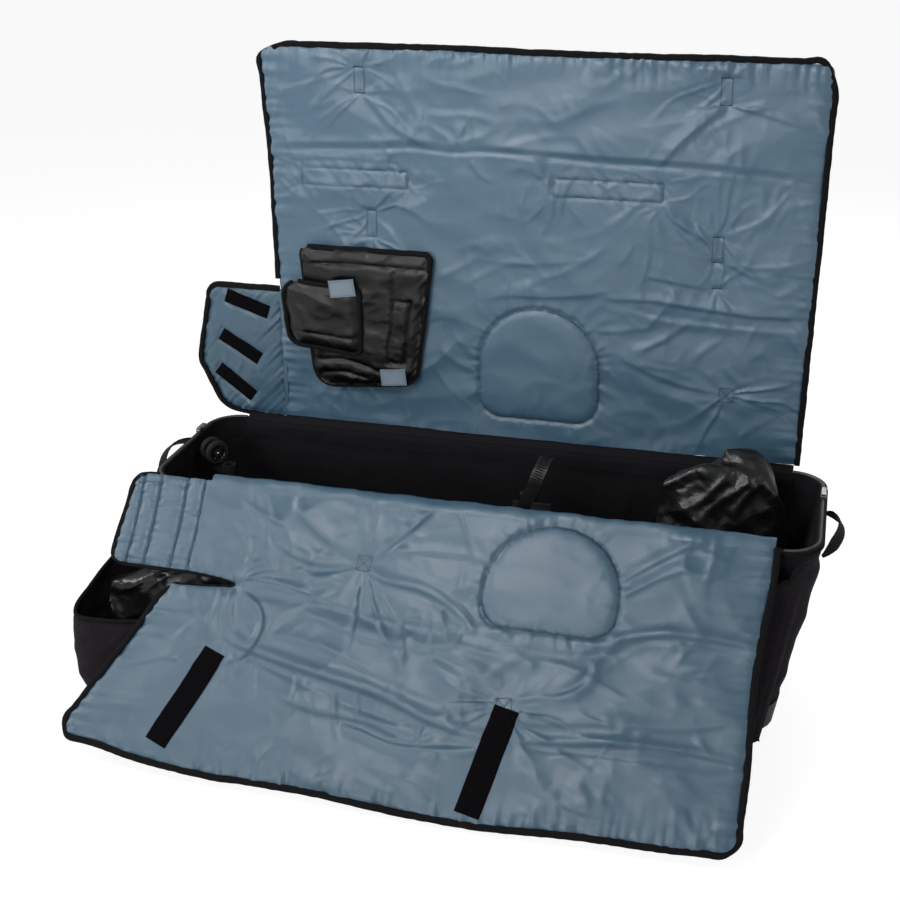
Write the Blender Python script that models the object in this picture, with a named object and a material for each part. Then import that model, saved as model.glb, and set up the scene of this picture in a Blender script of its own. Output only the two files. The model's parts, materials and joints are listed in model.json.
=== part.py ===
"""Soft travel case for a bicycle, standing open with its padded panels spread.

Metres, +Z up. The origin is the middle of the underside of the centre skid rail.
The case's length runs along X, its front faces -Y.
"""
import math

import bmesh
import bpy
from mathutils import Matrix, Vector

# Clearances
GAP = 0.0005
SLIDE_GAP = 0.0008
PANEL_CLEARANCE = 0.016

# Tub: rim size in plan, wall, and how far the right end leans in at the floor
CASE_LENGTH = 1.240
CASE_WIDTH = 0.340
WALL_TOP = 0.380
WALL = 0.012
CORNER_RADIUS = 0.065
RIGHT_FOOT_INSET = 0.060
CORNER_STEPS = 7
HALF_LENGTH = CASE_LENGTH / 2
HALF_WIDTH = CASE_WIDTH / 2

# Base
SKID_HEIGHT = 0.010
SKID_WIDTH = 0.024
SKID_LENGTH = 1.000
SKID_SPACING = 0.110
SKID_BAYS = 7
TRAY_FLOOR = 0.004
TRAY_WALL = 0.003
TRAY_TOP = 0.060
BOARD_THICKNESS = 0.008

# Padded panels
PANEL = 0.012
PANEL_ROUND = 0.0052
BINDING_WIDTH = 0.015
BINDING_THICKNESS = 0.015
SLIT_BINDING_WIDTH = 0.008
SLIT_OPENING = 0.012
PANEL_CORNER = 0.018
FOLD_SETBACK = 0.010
PAD_THICKNESS = 0.007
STRIP_THICKNESS = 0.0025

# Back panel, measured in from the rim's ends and up from its hinge
BACK_LEFT_INSET = 0.152
BACK_RIGHT_INSET = 0.062
BACK_HEIGHT = 0.545
ROOF_DEPTH = 0.199
BACK_WING_OVERHANG = 0.032
BACK_WING_TOP = 0.271
BACK_WING_CUT = 0.065
BACK_WING_HEEL = 0.045
WING_FOOT = 0.0145

# Front panel, measured in from the rim's ends and down its slope from its hinge
FRONT_SLOPE = 48.4
FOLD_LIFT = 5.4
FRONT_WING_OVERHANG = 0.016
FRONT_LEFT_INSET = 0.140
SLIT_END_INSET = 0.228
FRONT_RIGHT_INSET = 0.090
SLIT_DEPTH = 0.185
FOLD_DEPTH_RIGHT = 0.221
FRONT_DEPTH_LEFT = 0.485
FRONT_DEPTH_MIDDLE = 0.521
FRONT_DEPTH_RIGHT = 0.502
FRONT_LOW_OVERHANG = 0.030
FRONT_WAIST_INSET = 0.030
FRONT_WAIST_DEPTH = 0.365
SLIT_LOW_INSET = 0.100
CHANNEL_COUNT = 4
CHANNEL_DEPTH = 0.003
CHANNEL_WIDTH = 0.010

# Sewn pads: width, height and middle of each
PAD_WIDTH = 0.236
PAD_CORNER = 0.045
BACK_PAD_HEIGHT = 0.228
BACK_PAD_X = 0.060
BACK_PAD_BOTTOM = 0.046
FRONT_PAD_HEIGHT = 0.188
FRONT_PAD_X = 0.178
FRONT_PAD_TOP = 0.004

# Hook strips on the front panel, and loop strips on the back wing: each strip's middle
# from the wing's hinge, and its tilt in degrees
HOOK_WIDTH = 0.044
HOOK_LENGTH = 0.186
LEFT_HOOK_INSET = 0.192
LEFT_HOOK_DEPTH = 0.392
LEFT_HOOK_ANGLE = -20.0
RIGHT_HOOK_RISE = 0.082
RIGHT_HOOK_X = 0.119
RIGHT_HOOK_ANGLE = -11.0
LOOP_WIDTH = 0.028
LOOP_LENGTH = 0.094
LOOP_STRIPS = (
    ("loop_strip_top", -0.073, 0.238, -19.0),
    ("loop_strip_middle", -0.094, 0.146, -31.0),
    ("loop_strip_bottom", -0.110, 0.066, -37.0),
)

# Wheel pockets
POCKET_WALL = 0.004
POCKET_BOTTOM = 0.004
POCKET_FLOOR = 0.004
PIPING_RADIUS = 0.004
BACK_POCKET_DEPTH = 0.075
BACK_POCKET_RIM = 0.290
BACK_POCKET_CORNER = 0.030
BACK_POCKET_CROWN = 0.010
BACK_POCKET_LEFT_INSETS = (0.060, 0.070, 0.140)
BACK_POCKET_RIGHT_INSETS = (0.130, 0.140, 0.220)
LEAN_START_INSET = 0.270
LEAN_RUN = 0.200

# Front pocket's rim: distance along X from the rim's right end, its middle and its left end,
# distance out from the pocket's root on the front wall, and height
POCKET_RIM_RIGHT = ((-0.075, 0.0, 0.366), (-0.088, 0.014, 0.364), (-0.130, 0.0245, 0.325))
POCKET_RIM_MIDDLE = ((0.250, 0.0495, 0.290), (-0.050, 0.0835, 0.250), (-0.350, 0.1235, 0.205))
POCKET_RIM_LEFT = ((0.060, 0.1565, 0.170), (-0.052, 0.1645, 0.163), (-0.092, 0.1415, 0.163),
                   (-0.089, 0.0865, 0.185), (-0.072, 0.0295, 0.215), (-0.045, -0.0105, 0.245))
POCKET_END_RIM = (-0.0285, 0.260)

# Folded wheel bag in the front pocket
BAG_LEFT_OVERHANG = 0.046
BAG_LENGTH = 0.492
BAG_INSET = 0.012
BAG_REACH = 0.122
BAG_NARROWING = 0.055
BAG_TOP = 0.255

# Roller wheels on the left end
ROLLER_RADIUS = 0.038
ROLLER_WIDTH = 0.026
ROLLER_SPACING = 0.080
ROLLER_LIFT = 0.0025
ROLLER_STANDOFF = 0.054
AXLE_RADIUS = 0.004
AXLE_END = 0.002
BORE_CLEARANCE = 0.0003
CHEEK = 0.005
CHEEK_GAP = 0.003
CHEEK_TOP = 0.072
CHEEK_BOTTOM = 0.014
CHEEK_REACH = 0.014

# Cradle that carries the frame, with its ladder strap
CRADLE_X = 0.082
CRADLE_FOOT = (0.062, 0.006)
POST_RADIUS = 0.021
SADDLE = (0.074, 0.064, 0.040)
SADDLE_TOP = 0.322
TROUGH_RADIUS = 0.024
STRAP_WIDTH = 0.026
STRAP_THICKNESS = 0.003
STRAP_TOP = 0.428
STRAP_LEAN = 0.38
RATCHET = (0.032, 0.012, 0.036)
LEVER_LENGTH = 0.048
LEVER_THICKNESS = 0.004

# Stowed towing caster: tube, fork and twin wheels
TOW_TUBE_RADIUS = 0.013
TOW_TUBE_WALL = 0.0025
TOW_FOOT = (0.034, 0.005)
TOW_TUBE_TOP = 0.352
TOW_REACH = 0.062
CASTER_INSET = 0.051
CASTER_Y = 0.026
CASTER_Z = 0.360
CASTER_YAW = -38.0
CASTER_RADIUS = 0.0245
CASTER_WIDTH = 0.011
CASTER_SPACING = 0.024
CASTER_AXLE_RADIUS = 0.003

# Carry handles
HANDLE_SPAN = 0.170
HANDLE_REACH = 0.034
HANDLE_WIDTH = 0.024
HANDLE_THICKNESS = 0.003
HANDLE_Z = 0.350
HANDLE_HEM = 0.003
RIGHT_HANDLE_Y = -0.024
RIGHT_HANDLE_LIFT = 30.0
LEFT_HANDLE_Y = -0.010
LEFT_HANDLE_LIFT = 50.0
TOP_HANDLE_SPAN = 0.190
TOP_HANDLE_DROP = 0.070
TOP_HANDLE_X = (-0.305, 0.181)
TOP_HANDLE_HEIGHT = 0.500

# Rim zips
COIL_WIDTH = 0.006
COIL_HEIGHT = 0.002
SLIDER = (0.010, 0.018, 0.006)
PULL_LENGTH = 0.030
PULL_WIDTH = 0.008
PULL_THICKNESS = 0.002
PULL_PIN = 0.0015
RIGHT_SLIDER_Y = 0.060
LEFT_SLIDER_Y = 0.060

# Padded frame wrap, held on the back panel
WRAP_INSET = 0.208
WRAP_WIDTH = 0.262
WRAP_TOP = 0.755
WRAP_BOTTOM = 0.470
WRAP_THICKNESS = 0.020
LAPEL_WIDTH = 0.120
LAPEL_BOTTOM = 0.560
LAPEL_TOP = 0.690
LAPEL_THICKNESS = 0.012
WRAP_STRAP = (0.052, 0.034, 0.002)

# Cover bag that lies at the right of the tub
COVER_SIZE = (0.270, 0.150, 0.410)
COVER_INSET = 0.208
COVER_Y = 0.060
COVER_SHOULDER = 0.62

# Heights and axes that follow from the sizes above
TRAY_BOTTOM = SKID_HEIGHT + GAP
FLOOR_TOP = TRAY_BOTTOM + TRAY_FLOOR
WALL_BOTTOM = FLOOR_TOP + GAP
BOARD_TOP = WALL_BOTTOM + BOARD_THICKNESS
STRAIGHT = HALF_WIDTH - CORNER_RADIUS
HINGE_Y = HALF_WIDTH + PANEL / 2 + GAP
HINGE_Z = WALL_TOP + PANEL / 2
END_FACE = TRAY_WALL + GAP
FOLD_PITCH = PANEL + GAP
BACK_LEFT = -HALF_LENGTH + BACK_LEFT_INSET
BACK_RIGHT = HALF_LENGTH - BACK_RIGHT_INSET
BACK_WING_LEFT = -HALF_LENGTH - BACK_WING_OVERHANG
FRONT_WING_LEFT = -HALF_LENGTH - FRONT_WING_OVERHANG
FRONT_LEFT = -HALF_LENGTH + FRONT_LEFT_INSET
SLIT_END = -HALF_LENGTH + SLIT_END_INSET
FRONT_RIGHT = HALF_LENGTH - FRONT_RIGHT_INSET
FRONT_LOW_LEFT = -HALF_LENGTH - FRONT_LOW_OVERHANG
FRONT_WAIST_LEFT = -HALF_LENGTH + FRONT_WAIST_INSET
SLIT_LOW_LEFT = -HALF_LENGTH + SLIT_LOW_INSET
LEFT_HOOK_X = -HALF_LENGTH + LEFT_HOOK_INSET
RIGHT_HOOK_DEPTH = FRONT_DEPTH_RIGHT - RIGHT_HOOK_RISE
BAG_LEFT = -HALF_LENGTH - BAG_LEFT_OVERHANG
WRAP_LEFT = -HALF_LENGTH + WRAP_INSET
WRAP_RIGHT = WRAP_LEFT + WRAP_WIDTH
CASTER_X = -HALF_LENGTH + CASTER_INSET
COVER_X = HALF_LENGTH - COVER_INSET


def clear_scene():
    """Remove every object of the open file."""
    for item in list(bpy.data.objects):
        bpy.data.objects.remove(item, do_unlink=True)


def make_material(name, color, roughness, metallic=0.0):
    """A Principled material of one plain colour."""
    material = bpy.data.materials.new(name)
    material.use_nodes = True
    shader = material.node_tree.nodes["Principled BSDF"]
    shader.inputs["Base Color"].default_value = (*color, 1.0)
    shader.inputs["Roughness"].default_value = roughness
    shader.inputs["Metallic"].default_value = metallic
    return material


def finish(name, bm, material, parent=None, smooth=True):
    """Turn a bmesh into the named object of one sub-part."""
    bmesh.ops.recalc_face_normals(bm, faces=bm.faces)
    mesh = bpy.data.meshes.new(name)
    bm.to_mesh(mesh)
    bm.free()
    if smooth:
        mesh.shade_smooth()
        mesh.set_sharp_from_angle(angle=math.radians(40))
    item = bpy.data.objects.new(name, mesh)
    item.data.materials.append(material)
    bpy.context.collection.objects.link(item)
    item.parent = parent
    return item


def pivot(name, location, rotation=(0.0, 0.0, 0.0), parent=None):
    """An empty on a joint's axis, which carries the moving pieces."""
    empty = bpy.data.objects.new(name, None)
    bpy.context.collection.objects.link(empty)
    empty.location = location
    empty.rotation_euler = rotation
    empty.parent = parent
    return empty


def add_bevel(item, width, segments=2, angle=50.0):
    """Round the sharp edges of a piece."""
    bevel = item.modifiers.new("round", "BEVEL")
    bevel.width = width
    bevel.segments = segments
    bevel.limit_method = "ANGLE"
    bevel.angle_limit = math.radians(angle)
    bevel.use_clamp_overlap = True
    return item


def cut_away(item, bm, label, material):
    """Cut the shapes of a bmesh out of a piece."""
    cutter = finish(item.name + "_cutter", bm, material)
    cutter.hide_render = True
    cutter.display_type = "WIRE"
    cut = item.modifiers.new(label, "BOOLEAN")
    cut.operation = "DIFFERENCE"
    cut.object = cutter


def loop_faces(bm, rings, closed_rings=True, caps=True):
    """Join rings of vertices by quads, and cap the first and the last ring."""
    rows = [[bm.verts.new(point) for point in ring] for ring in rings]
    count = len(rows[0])
    spans = count if closed_rings else count - 1
    for low, high in zip(rows, rows[1:]):
        for i in range(spans):
            j = (i + 1) % count
            bm.faces.new((low[i], low[j], high[j], high[i]))
    if caps:
        bm.faces.new(list(reversed(rows[0])))
        bm.faces.new(rows[-1])
    return rows


def prism(name, outline, low, high, material, parent=None, frame=None, bevel=0.0, segments=2):
    """A flat outline in X and Y, extruded from low to high along Z of the given frame."""
    bm = bmesh.new()
    rings = [[Vector((x, y, z)) for x, y in outline] for z in (low, high)]
    loop_faces(bm, rings)
    if frame is not None:
        bmesh.ops.transform(bm, matrix=frame, verts=bm.verts)
    item = finish(name, bm, material, parent)
    if bevel:
        add_bevel(item, bevel, segments)
    return item


def add_prism(bm, outline, low, high, frame=None):
    """Add one extruded outline to a bmesh that gathers several solids."""
    rings = [[Vector((x, y, z)) for x, y in outline] for z in (low, high)]
    if frame is not None:
        rings = [[frame @ point for point in ring] for ring in rings]
    loop_faces(bm, rings)


def rectangle(x0, x1, y0, y1):
    """The four corners of a rectangle."""
    return [(x0, y0), (x1, y0), (x1, y1), (x0, y1)]


def box_rings(centre, size):
    """Outline and heights of an upright box."""
    x, y, z = centre
    a, b, c = (value / 2 for value in size)
    return rectangle(x - a, x + a, y - b, y + b), z - c, z + c


def arc(cx, cy, radius, start, end, steps):
    """Points of an arc, angles in degrees."""
    points = []
    for i in range(steps + 1):
        angle = math.radians(start + (end - start) * i / steps)
        points.append((cx + radius * math.cos(angle), cy + radius * math.sin(angle)))
    return points


def rounded(corners, radii, steps=4):
    """An outline whose corners are rounded by the given radii."""
    outline = []
    count = len(corners)
    for i, radius in enumerate(radii):
        here = Vector(corners[i])
        before = (Vector(corners[i - 1]) - here).normalized()
        after = (Vector(corners[(i + 1) % count]) - here).normalized()
        if radius <= 0.0:
            outline.append(tuple(here))
            continue
        half = before.angle(after) / 2
        reach = radius / math.tan(half)
        centre = here + (before + after).normalized() * radius / math.sin(half)
        first = here + before * reach - centre
        last = here + after * reach - centre
        turn = math.atan2(first.x * last.y - first.y * last.x, first.dot(last))
        for k in range(steps + 1):
            angle = turn * k / steps
            spoke = Matrix.Rotation(angle, 2) @ first
            outline.append((centre.x + spoke.x, centre.y + spoke.y))
    return outline


def offset_path(points, distance):
    """An open path moved to its right by a distance, mitred at its turns."""
    path = [Vector((x, y)) for x, y in points]
    moved = []
    for i, point in enumerate(path):
        back = (point - path[max(i - 1, 0)]).normalized()
        ahead = (path[min(i + 1, len(path) - 1)] - point).normalized()
        along = (back + ahead).normalized()
        stretch = 1.0 / max(0.5, along.dot(ahead if ahead.length else back))
        moved.append((point.x + along.y * distance * stretch, point.y - along.x * distance * stretch))
    return moved


def smooth_path(points, steps):
    """A Catmull-Rom curve through the points."""
    control = [Vector(point) for point in points]
    control = [2 * control[0] - control[1]] + control + [2 * control[-1] - control[-2]]
    curve = []
    for i in range(1, len(control) - 2):
        a, b, c, d = control[i - 1:i + 3]
        for k in range(steps):
            t = k / steps
            curve.append(0.5 * (2 * b + (c - a) * t + (2 * a - 5 * b + 4 * c - d) * t * t
                                + (3 * b - a - 3 * c + d) * t ** 3))
    curve.append(control[-2])
    return curve


def circle(radius, steps):
    """Points of a circle about the origin."""
    return [(radius * math.cos(2 * math.pi * i / steps), radius * math.sin(2 * math.pi * i / steps))
            for i in range(steps)]


def turned(bm, profile, steps, frame):
    """A closed profile of (radius, height) turned about Z of the frame."""
    rings = []
    for i in range(steps):
        angle = 2 * math.pi * i / steps
        ring = [frame @ Vector((r * math.cos(angle), r * math.sin(angle), h)) for r, h in profile]
        rings.append(ring)
    rows = loop_faces(bm, rings, caps=False)
    first, last = rows[0], rows[-1]
    for i in range(len(profile)):
        j = (i + 1) % len(profile)
        bm.faces.new((last[i], last[j], first[j], first[i]))


def cylinder(bm, radius, low, high, steps, frame, chamfer=0.0):
    """A solid cylinder along Z of the frame, with chamfered ends."""
    levels = [(radius, low), (radius, high)]
    if chamfer > 0.0:
        levels = [(radius - chamfer, low), (radius, low + chamfer)]
        levels += [(radius, high - chamfer), (radius - chamfer, high)]
    rings = []
    for size, height in levels:
        rings.append([frame @ Vector((x, y, height)) for x, y in circle(size, steps)])
    loop_faces(bm, rings)


def swept(bm, path, section, widths=None, up=Vector((0, 0, 1))):
    """A section of (across, up) points swept along an open path, mitred at its turns."""
    points = [Vector(point) for point in path]
    rings = []
    for i, point in enumerate(points):
        back = (point - points[i - 1]).normalized() if i else None
        ahead = (points[i + 1] - point).normalized() if i < len(points) - 1 else None
        if back is None:
            tangent, stretch = ahead, 1.0
        elif ahead is None:
            tangent, stretch = back, 1.0
        else:
            tangent = (back + ahead).normalized()
            stretch = 1.0 / max(0.5, tangent.dot(ahead))
        scale = widths[i] if widths else 1.0
        across = up.cross(tangent).normalized()
        rings.append([point + across * a * stretch * scale + up * b for a, b in section])
    loop_faces(bm, rings)


def taper_shift(z):
    """How far the right end has moved in at height z."""
    return RIGHT_FOOT_INSET * (1.0 - z / WALL_TOP)


def end_path(side, offset, z):
    """Plan points round one end of the tub, from its front corner to its back corner."""
    radius = CORNER_RADIUS + offset
    centre = HALF_LENGTH - CORNER_RADIUS
    if side > 0:
        centre -= taper_shift(z)
    path = arc(centre, -STRAIGHT, radius, -90.0, 0.0, CORNER_STEPS)
    path += arc(centre, STRAIGHT, radius, 0.0, 90.0, CORNER_STEPS)
    return [(side * x, y) for x, y in path]


def tub_outline(offset, z):
    """The tub's whole plan outline at height z."""
    return end_path(1, offset, z) + list(reversed(end_path(-1, offset, z)))


def wall_solid(name, paths, material):
    """A wall strip from four paths: outer low, outer high, inner high, inner low."""
    bm = bmesh.new()
    sections = [[Vector(point) for point in corner] for corner in zip(*paths)]
    loop_faces(bm, sections)
    return finish(name, bm, material)


def build_walls(material):
    """Front, back, left and right walls of the tub, standing on the tray's floor."""
    for name, side in (("wall_right", 1), ("wall_left", -1)):
        paths = []
        for offset, z in ((0.0, WALL_BOTTOM), (0.0, WALL_TOP), (-WALL, WALL_TOP), (-WALL, WALL_BOTTOM)):
            paths.append([(x, y, z) for x, y in end_path(side, offset, z)])
        wall_solid(name, paths, material)
    left = -(HALF_LENGTH - CORNER_RADIUS) + GAP
    for name, side in (("wall_front", -1), ("wall_back", 1)):
        paths = []
        for offset, z in ((0.0, WALL_BOTTOM), (0.0, WALL_TOP), (-WALL, WALL_TOP), (-WALL, WALL_BOTTOM)):
            right = HALF_LENGTH - CORNER_RADIUS - taper_shift(z) - GAP
            y = side * (HALF_WIDTH + offset)
            paths.append([(left, y, z), (right, y, z)])
        wall_solid(name, paths, material)


def build_base(plastic, board):
    """Skid rails, tray and stiffening board."""
    half = SKID_LENGTH / 2
    side = SKID_SPACING + SKID_WIDTH / 2
    inside = SKID_SPACING - SKID_WIDTH / 2
    frame = prism("skid_frame", rounded(rectangle(-half, half, -side, side), [SKID_WIDTH * 0.8] * 4, 4),
                  0.0, SKID_HEIGHT, plastic)
    gaps = bmesh.new()
    for low in (-inside, SKID_WIDTH / 2):
        for k in range(SKID_BAYS):
            pitch = (SKID_LENGTH - SKID_WIDTH) / SKID_BAYS
            start = -half + SKID_WIDTH + pitch * k
            corners = rectangle(start, start + pitch - SKID_WIDTH, low, low + inside - SKID_WIDTH / 2)
            add_prism(gaps, rounded(corners, [SKID_WIDTH / 2] * 4, 2), -SKID_HEIGHT, SKID_HEIGHT * 2)
    cut_away(frame, gaps, "gaps", plastic)

    outer = END_FACE
    inner = GAP
    bm = bmesh.new()
    rings = [
        [(x, y, TRAY_BOTTOM) for x, y in tub_outline(outer, TRAY_BOTTOM)],
        [(x, y, TRAY_TOP) for x, y in tub_outline(outer, TRAY_TOP)],
        [(x, y, TRAY_TOP) for x, y in tub_outline(inner, TRAY_TOP)],
        [(x, y, FLOOR_TOP) for x, y in tub_outline(inner, FLOOR_TOP)],
    ]
    loop_faces(bm, [[Vector(point) for point in ring] for ring in rings])
    finish("base_tray", bm, plastic)

    outline = tub_outline(-WALL - GAP * 2, WALL_BOTTOM)
    prism("base_board", outline, WALL_BOTTOM, BOARD_TOP, board)


def panel_under(depth):
    """Height of the front panel's underside at a distance in front of its hinge."""
    slope = math.radians(FRONT_SLOPE)
    return HINGE_Z - depth * math.tan(slope) - PANEL / 2 / math.cos(slope)


def pocket_solid(name, plan, tops, material):
    """An open pouch from plan points of its outer skin, with a rim height at each.

    It gives back the middle line of the rim.
    """
    points = [Vector((x, y, 0.0)) for x, y in plan]
    outer, inner = [], []
    for i, point in enumerate(points):
        tangent = points[min(i + 1, len(points) - 1)] - points[max(i - 1, 0)]
        normal = Vector((tangent.y, -tangent.x, 0.0)).normalized()
        outer.append(point)
        inner.append(point + normal * POCKET_WALL)
    floor = POCKET_BOTTOM + POCKET_FLOOR
    rings = [
        [Vector((p.x, p.y, POCKET_BOTTOM)) for p in outer],
        [Vector((p.x + pocket_lean(p.x, z), p.y, z)) for p, z in zip(outer, tops)],
        [Vector((p.x + pocket_lean(p.x, z), p.y, z)) for p, z in zip(inner, tops)],
        [Vector((p.x + pocket_lean(p.x, floor), p.y, floor)) for p in inner],
    ]
    bm = bmesh.new()
    rows = loop_faces(bm, rings, closed_rings=False, caps=False)
    low, high, back, deep = rows
    bm.faces.new(list(reversed(low)))
    bm.faces.new(deep)
    for k in (0, -1):
        bm.faces.new((low[k], high[k], back[k], deep[k]))
    bm.faces.new((low[0], deep[0], deep[-1], low[-1]))
    finish(name, bm, material)
    return [(a + b) / 2 for a, b in zip(rings[1], rings[2])]


def pocket_lean(x, z):
    """How far a pocket's right end leans out at height z, like the tub's end."""
    share = min(1.0, max(0.0, (x - HALF_LENGTH + LEAN_START_INSET) / LEAN_RUN))
    return share * RIGHT_FOOT_INSET * z / WALL_TOP


def front_pocket_rim():
    """Plan points and rim heights of the front pocket, from its right end to the left end wall."""
    root = HALF_WIDTH + END_FACE + POCKET_WALL + GAP * 2
    control = [(HALF_LENGTH + x, -root - out, z) for x, out, z in POCKET_RIM_RIGHT]
    control += [(x, -root - out, z) for x, out, z in POCKET_RIM_MIDDLE]
    control += [(-HALF_LENGTH + x, -root - out, z) for x, out, z in POCKET_RIM_LEFT]
    out, z = POCKET_END_RIM
    control.append((-HALF_LENGTH - END_FACE - POCKET_WALL - GAP * 2, -root - out, z))
    plan, tops = [], []
    for point in smooth_path(control, 3):
        top = point.z
        if point.x + pocket_lean(point.x, top) < FRONT_RIGHT + BINDING_WIDTH * 3:
            top = min(top, panel_under(-point.y - HINGE_Y) - PANEL_CLEARANCE)
        plan.append((point.x, point.y))
        tops.append(top)
    return plan, tops


def build_pockets(fabric, piping, bag):
    """Outer wheel pockets, the front one's piping, and the folded wheel bag in it."""
    plan, tops = front_pocket_rim()
    rim = pocket_solid("front_pocket", plan, tops, fabric)
    rim = [point + Vector((0, 0, PIPING_RADIUS + GAP * 2)) for point in rim]
    bm = bmesh.new()
    section = [(PIPING_RADIUS * math.cos(a), PIPING_RADIUS * math.sin(a))
               for a in (math.radians(30 + 60 * k) for k in range(6))]
    swept(bm, rim[2:-4], section)
    finish("pocket_piping", bm, piping)

    near = HALF_WIDTH + END_FACE + POCKET_WALL + GAP * 2
    deep = near + BACK_POCKET_DEPTH
    reaches = (near, near + BACK_POCKET_CORNER, deep)
    control = [(-HALF_LENGTH + x, y, 0) for x, y in zip(BACK_POCKET_LEFT_INSETS, reaches)]
    control.append((0.0, deep + BACK_POCKET_CROWN, 0))
    control += [(HALF_LENGTH - x, y, 0) for x, y in reversed(list(zip(BACK_POCKET_RIGHT_INSETS, reaches)))]
    plan = [(p.x, p.y) for p in smooth_path(control, 3)]
    pocket_solid("back_pocket", plan, [BACK_POCKET_RIM] * len(plan), fabric)
    build_wheel_bag(bag)


def build_wheel_bag(material):
    """The empty wheel bag, folded flat and slipped into the front pocket."""
    near = HALF_WIDTH + END_FACE + BAG_INSET
    low = POCKET_BOTTOM + POCKET_FLOOR + GAP * 4
    rings = []
    stations = 14
    for i in range(stations + 1):
        t = i / stations
        x = BAG_LEFT + BAG_LENGTH * t
        far = HALF_WIDTH + BAG_REACH - BAG_NARROWING * t
        full = max(0.25, math.sin(math.pi * (0.06 + 0.88 * t)) ** 0.35)
        top = min(BAG_TOP, panel_under(near + 0.02 - HINGE_Y) - 0.02)
        middle = Vector((x, -(near + far) / 2, (low + top) / 2))
        ring = []
        for a in range(12):
            angle = 2 * math.pi * a / 12
            c, s = math.cos(angle), math.sin(angle)
            y = -abs(c) ** 0.6 * math.copysign(1, c) * (far - near) / 2
            z = abs(s) ** 0.6 * math.copysign(1, s) * (top - low) / 2
            point = middle + Vector((0, y * full, z * full))
            limit = panel_under(-point.y - HINGE_Y) - PANEL_CLEARANCE - 0.006
            point.z = min(point.z, limit)
            ring.append(point)
        rings.append(ring)
    bm = bmesh.new()
    loop_faces(bm, rings)
    finish("front_wheel_bag", bm, material)


def build_rollers(plastic, rubber, metal):
    """Two roller wheels on one axle at the foot of the left end, in a bolted carrier."""
    x = -HALF_LENGTH - ROLLER_STANDOFF
    z = ROLLER_RADIUS + ROLLER_LIFT
    half = ROLLER_WIDTH / 2 + CHEEK_GAP
    face = -HALF_LENGTH - END_FACE - GAP
    end = ROLLER_SPACING + half + CHEEK
    outline = [(face, -end), (face, end)]
    for middle in (ROLLER_SPACING, -ROLLER_SPACING):
        outline += [(x - CHEEK_REACH, middle + half + CHEEK), (x - CHEEK_REACH, middle + half),
                    (face - CHEEK, middle + half), (face - CHEEK, middle - half),
                    (x - CHEEK_REACH, middle - half), (x - CHEEK_REACH, middle - half - CHEEK)]
        if middle > 0:
            outline += [(face - CHEEK, middle - half - CHEEK), (face - CHEEK, -middle + half + CHEEK)]
    carrier = prism("wheel_carrier", list(reversed(outline)), CHEEK_BOTTOM, CHEEK_TOP, plastic)
    across = Matrix.Translation((x, 0, z)) @ Matrix.Rotation(math.radians(90), 4, "X")
    bm = bmesh.new()
    cylinder(bm, AXLE_RADIUS + BORE_CLEARANCE, -end * 1.2, end * 1.2, 16, across)
    cut_away(carrier, bm, "axle bore", plastic)
    bm = bmesh.new()
    cylinder(bm, AXLE_RADIUS, -end - AXLE_END, end + AXLE_END, 16, across, 0.0008)
    finish("wheel_axle", bm, metal)

    r, w, bore = ROLLER_RADIUS, ROLLER_WIDTH / 2, AXLE_RADIUS + BORE_CLEARANCE
    side = [(bore, w), (r * 0.45, w), (r * 0.50, w * 0.6), (r * 0.78, w * 0.6), (r * 0.82, w),
            (r - 0.003, w), (r, w - 0.004)]
    profile = [(a, -b) for a, b in side] + list(reversed(side))
    for name, y in (("roller_wheel_front", -ROLLER_SPACING), ("roller_wheel_back", ROLLER_SPACING)):
        hub = pivot(name + "_axis", (x, y, z), (math.radians(90), 0, 0))
        bm = bmesh.new()
        turned(bm, profile, 24, Matrix.Identity(4))
        finish(name, bm, rubber, hub)


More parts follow.
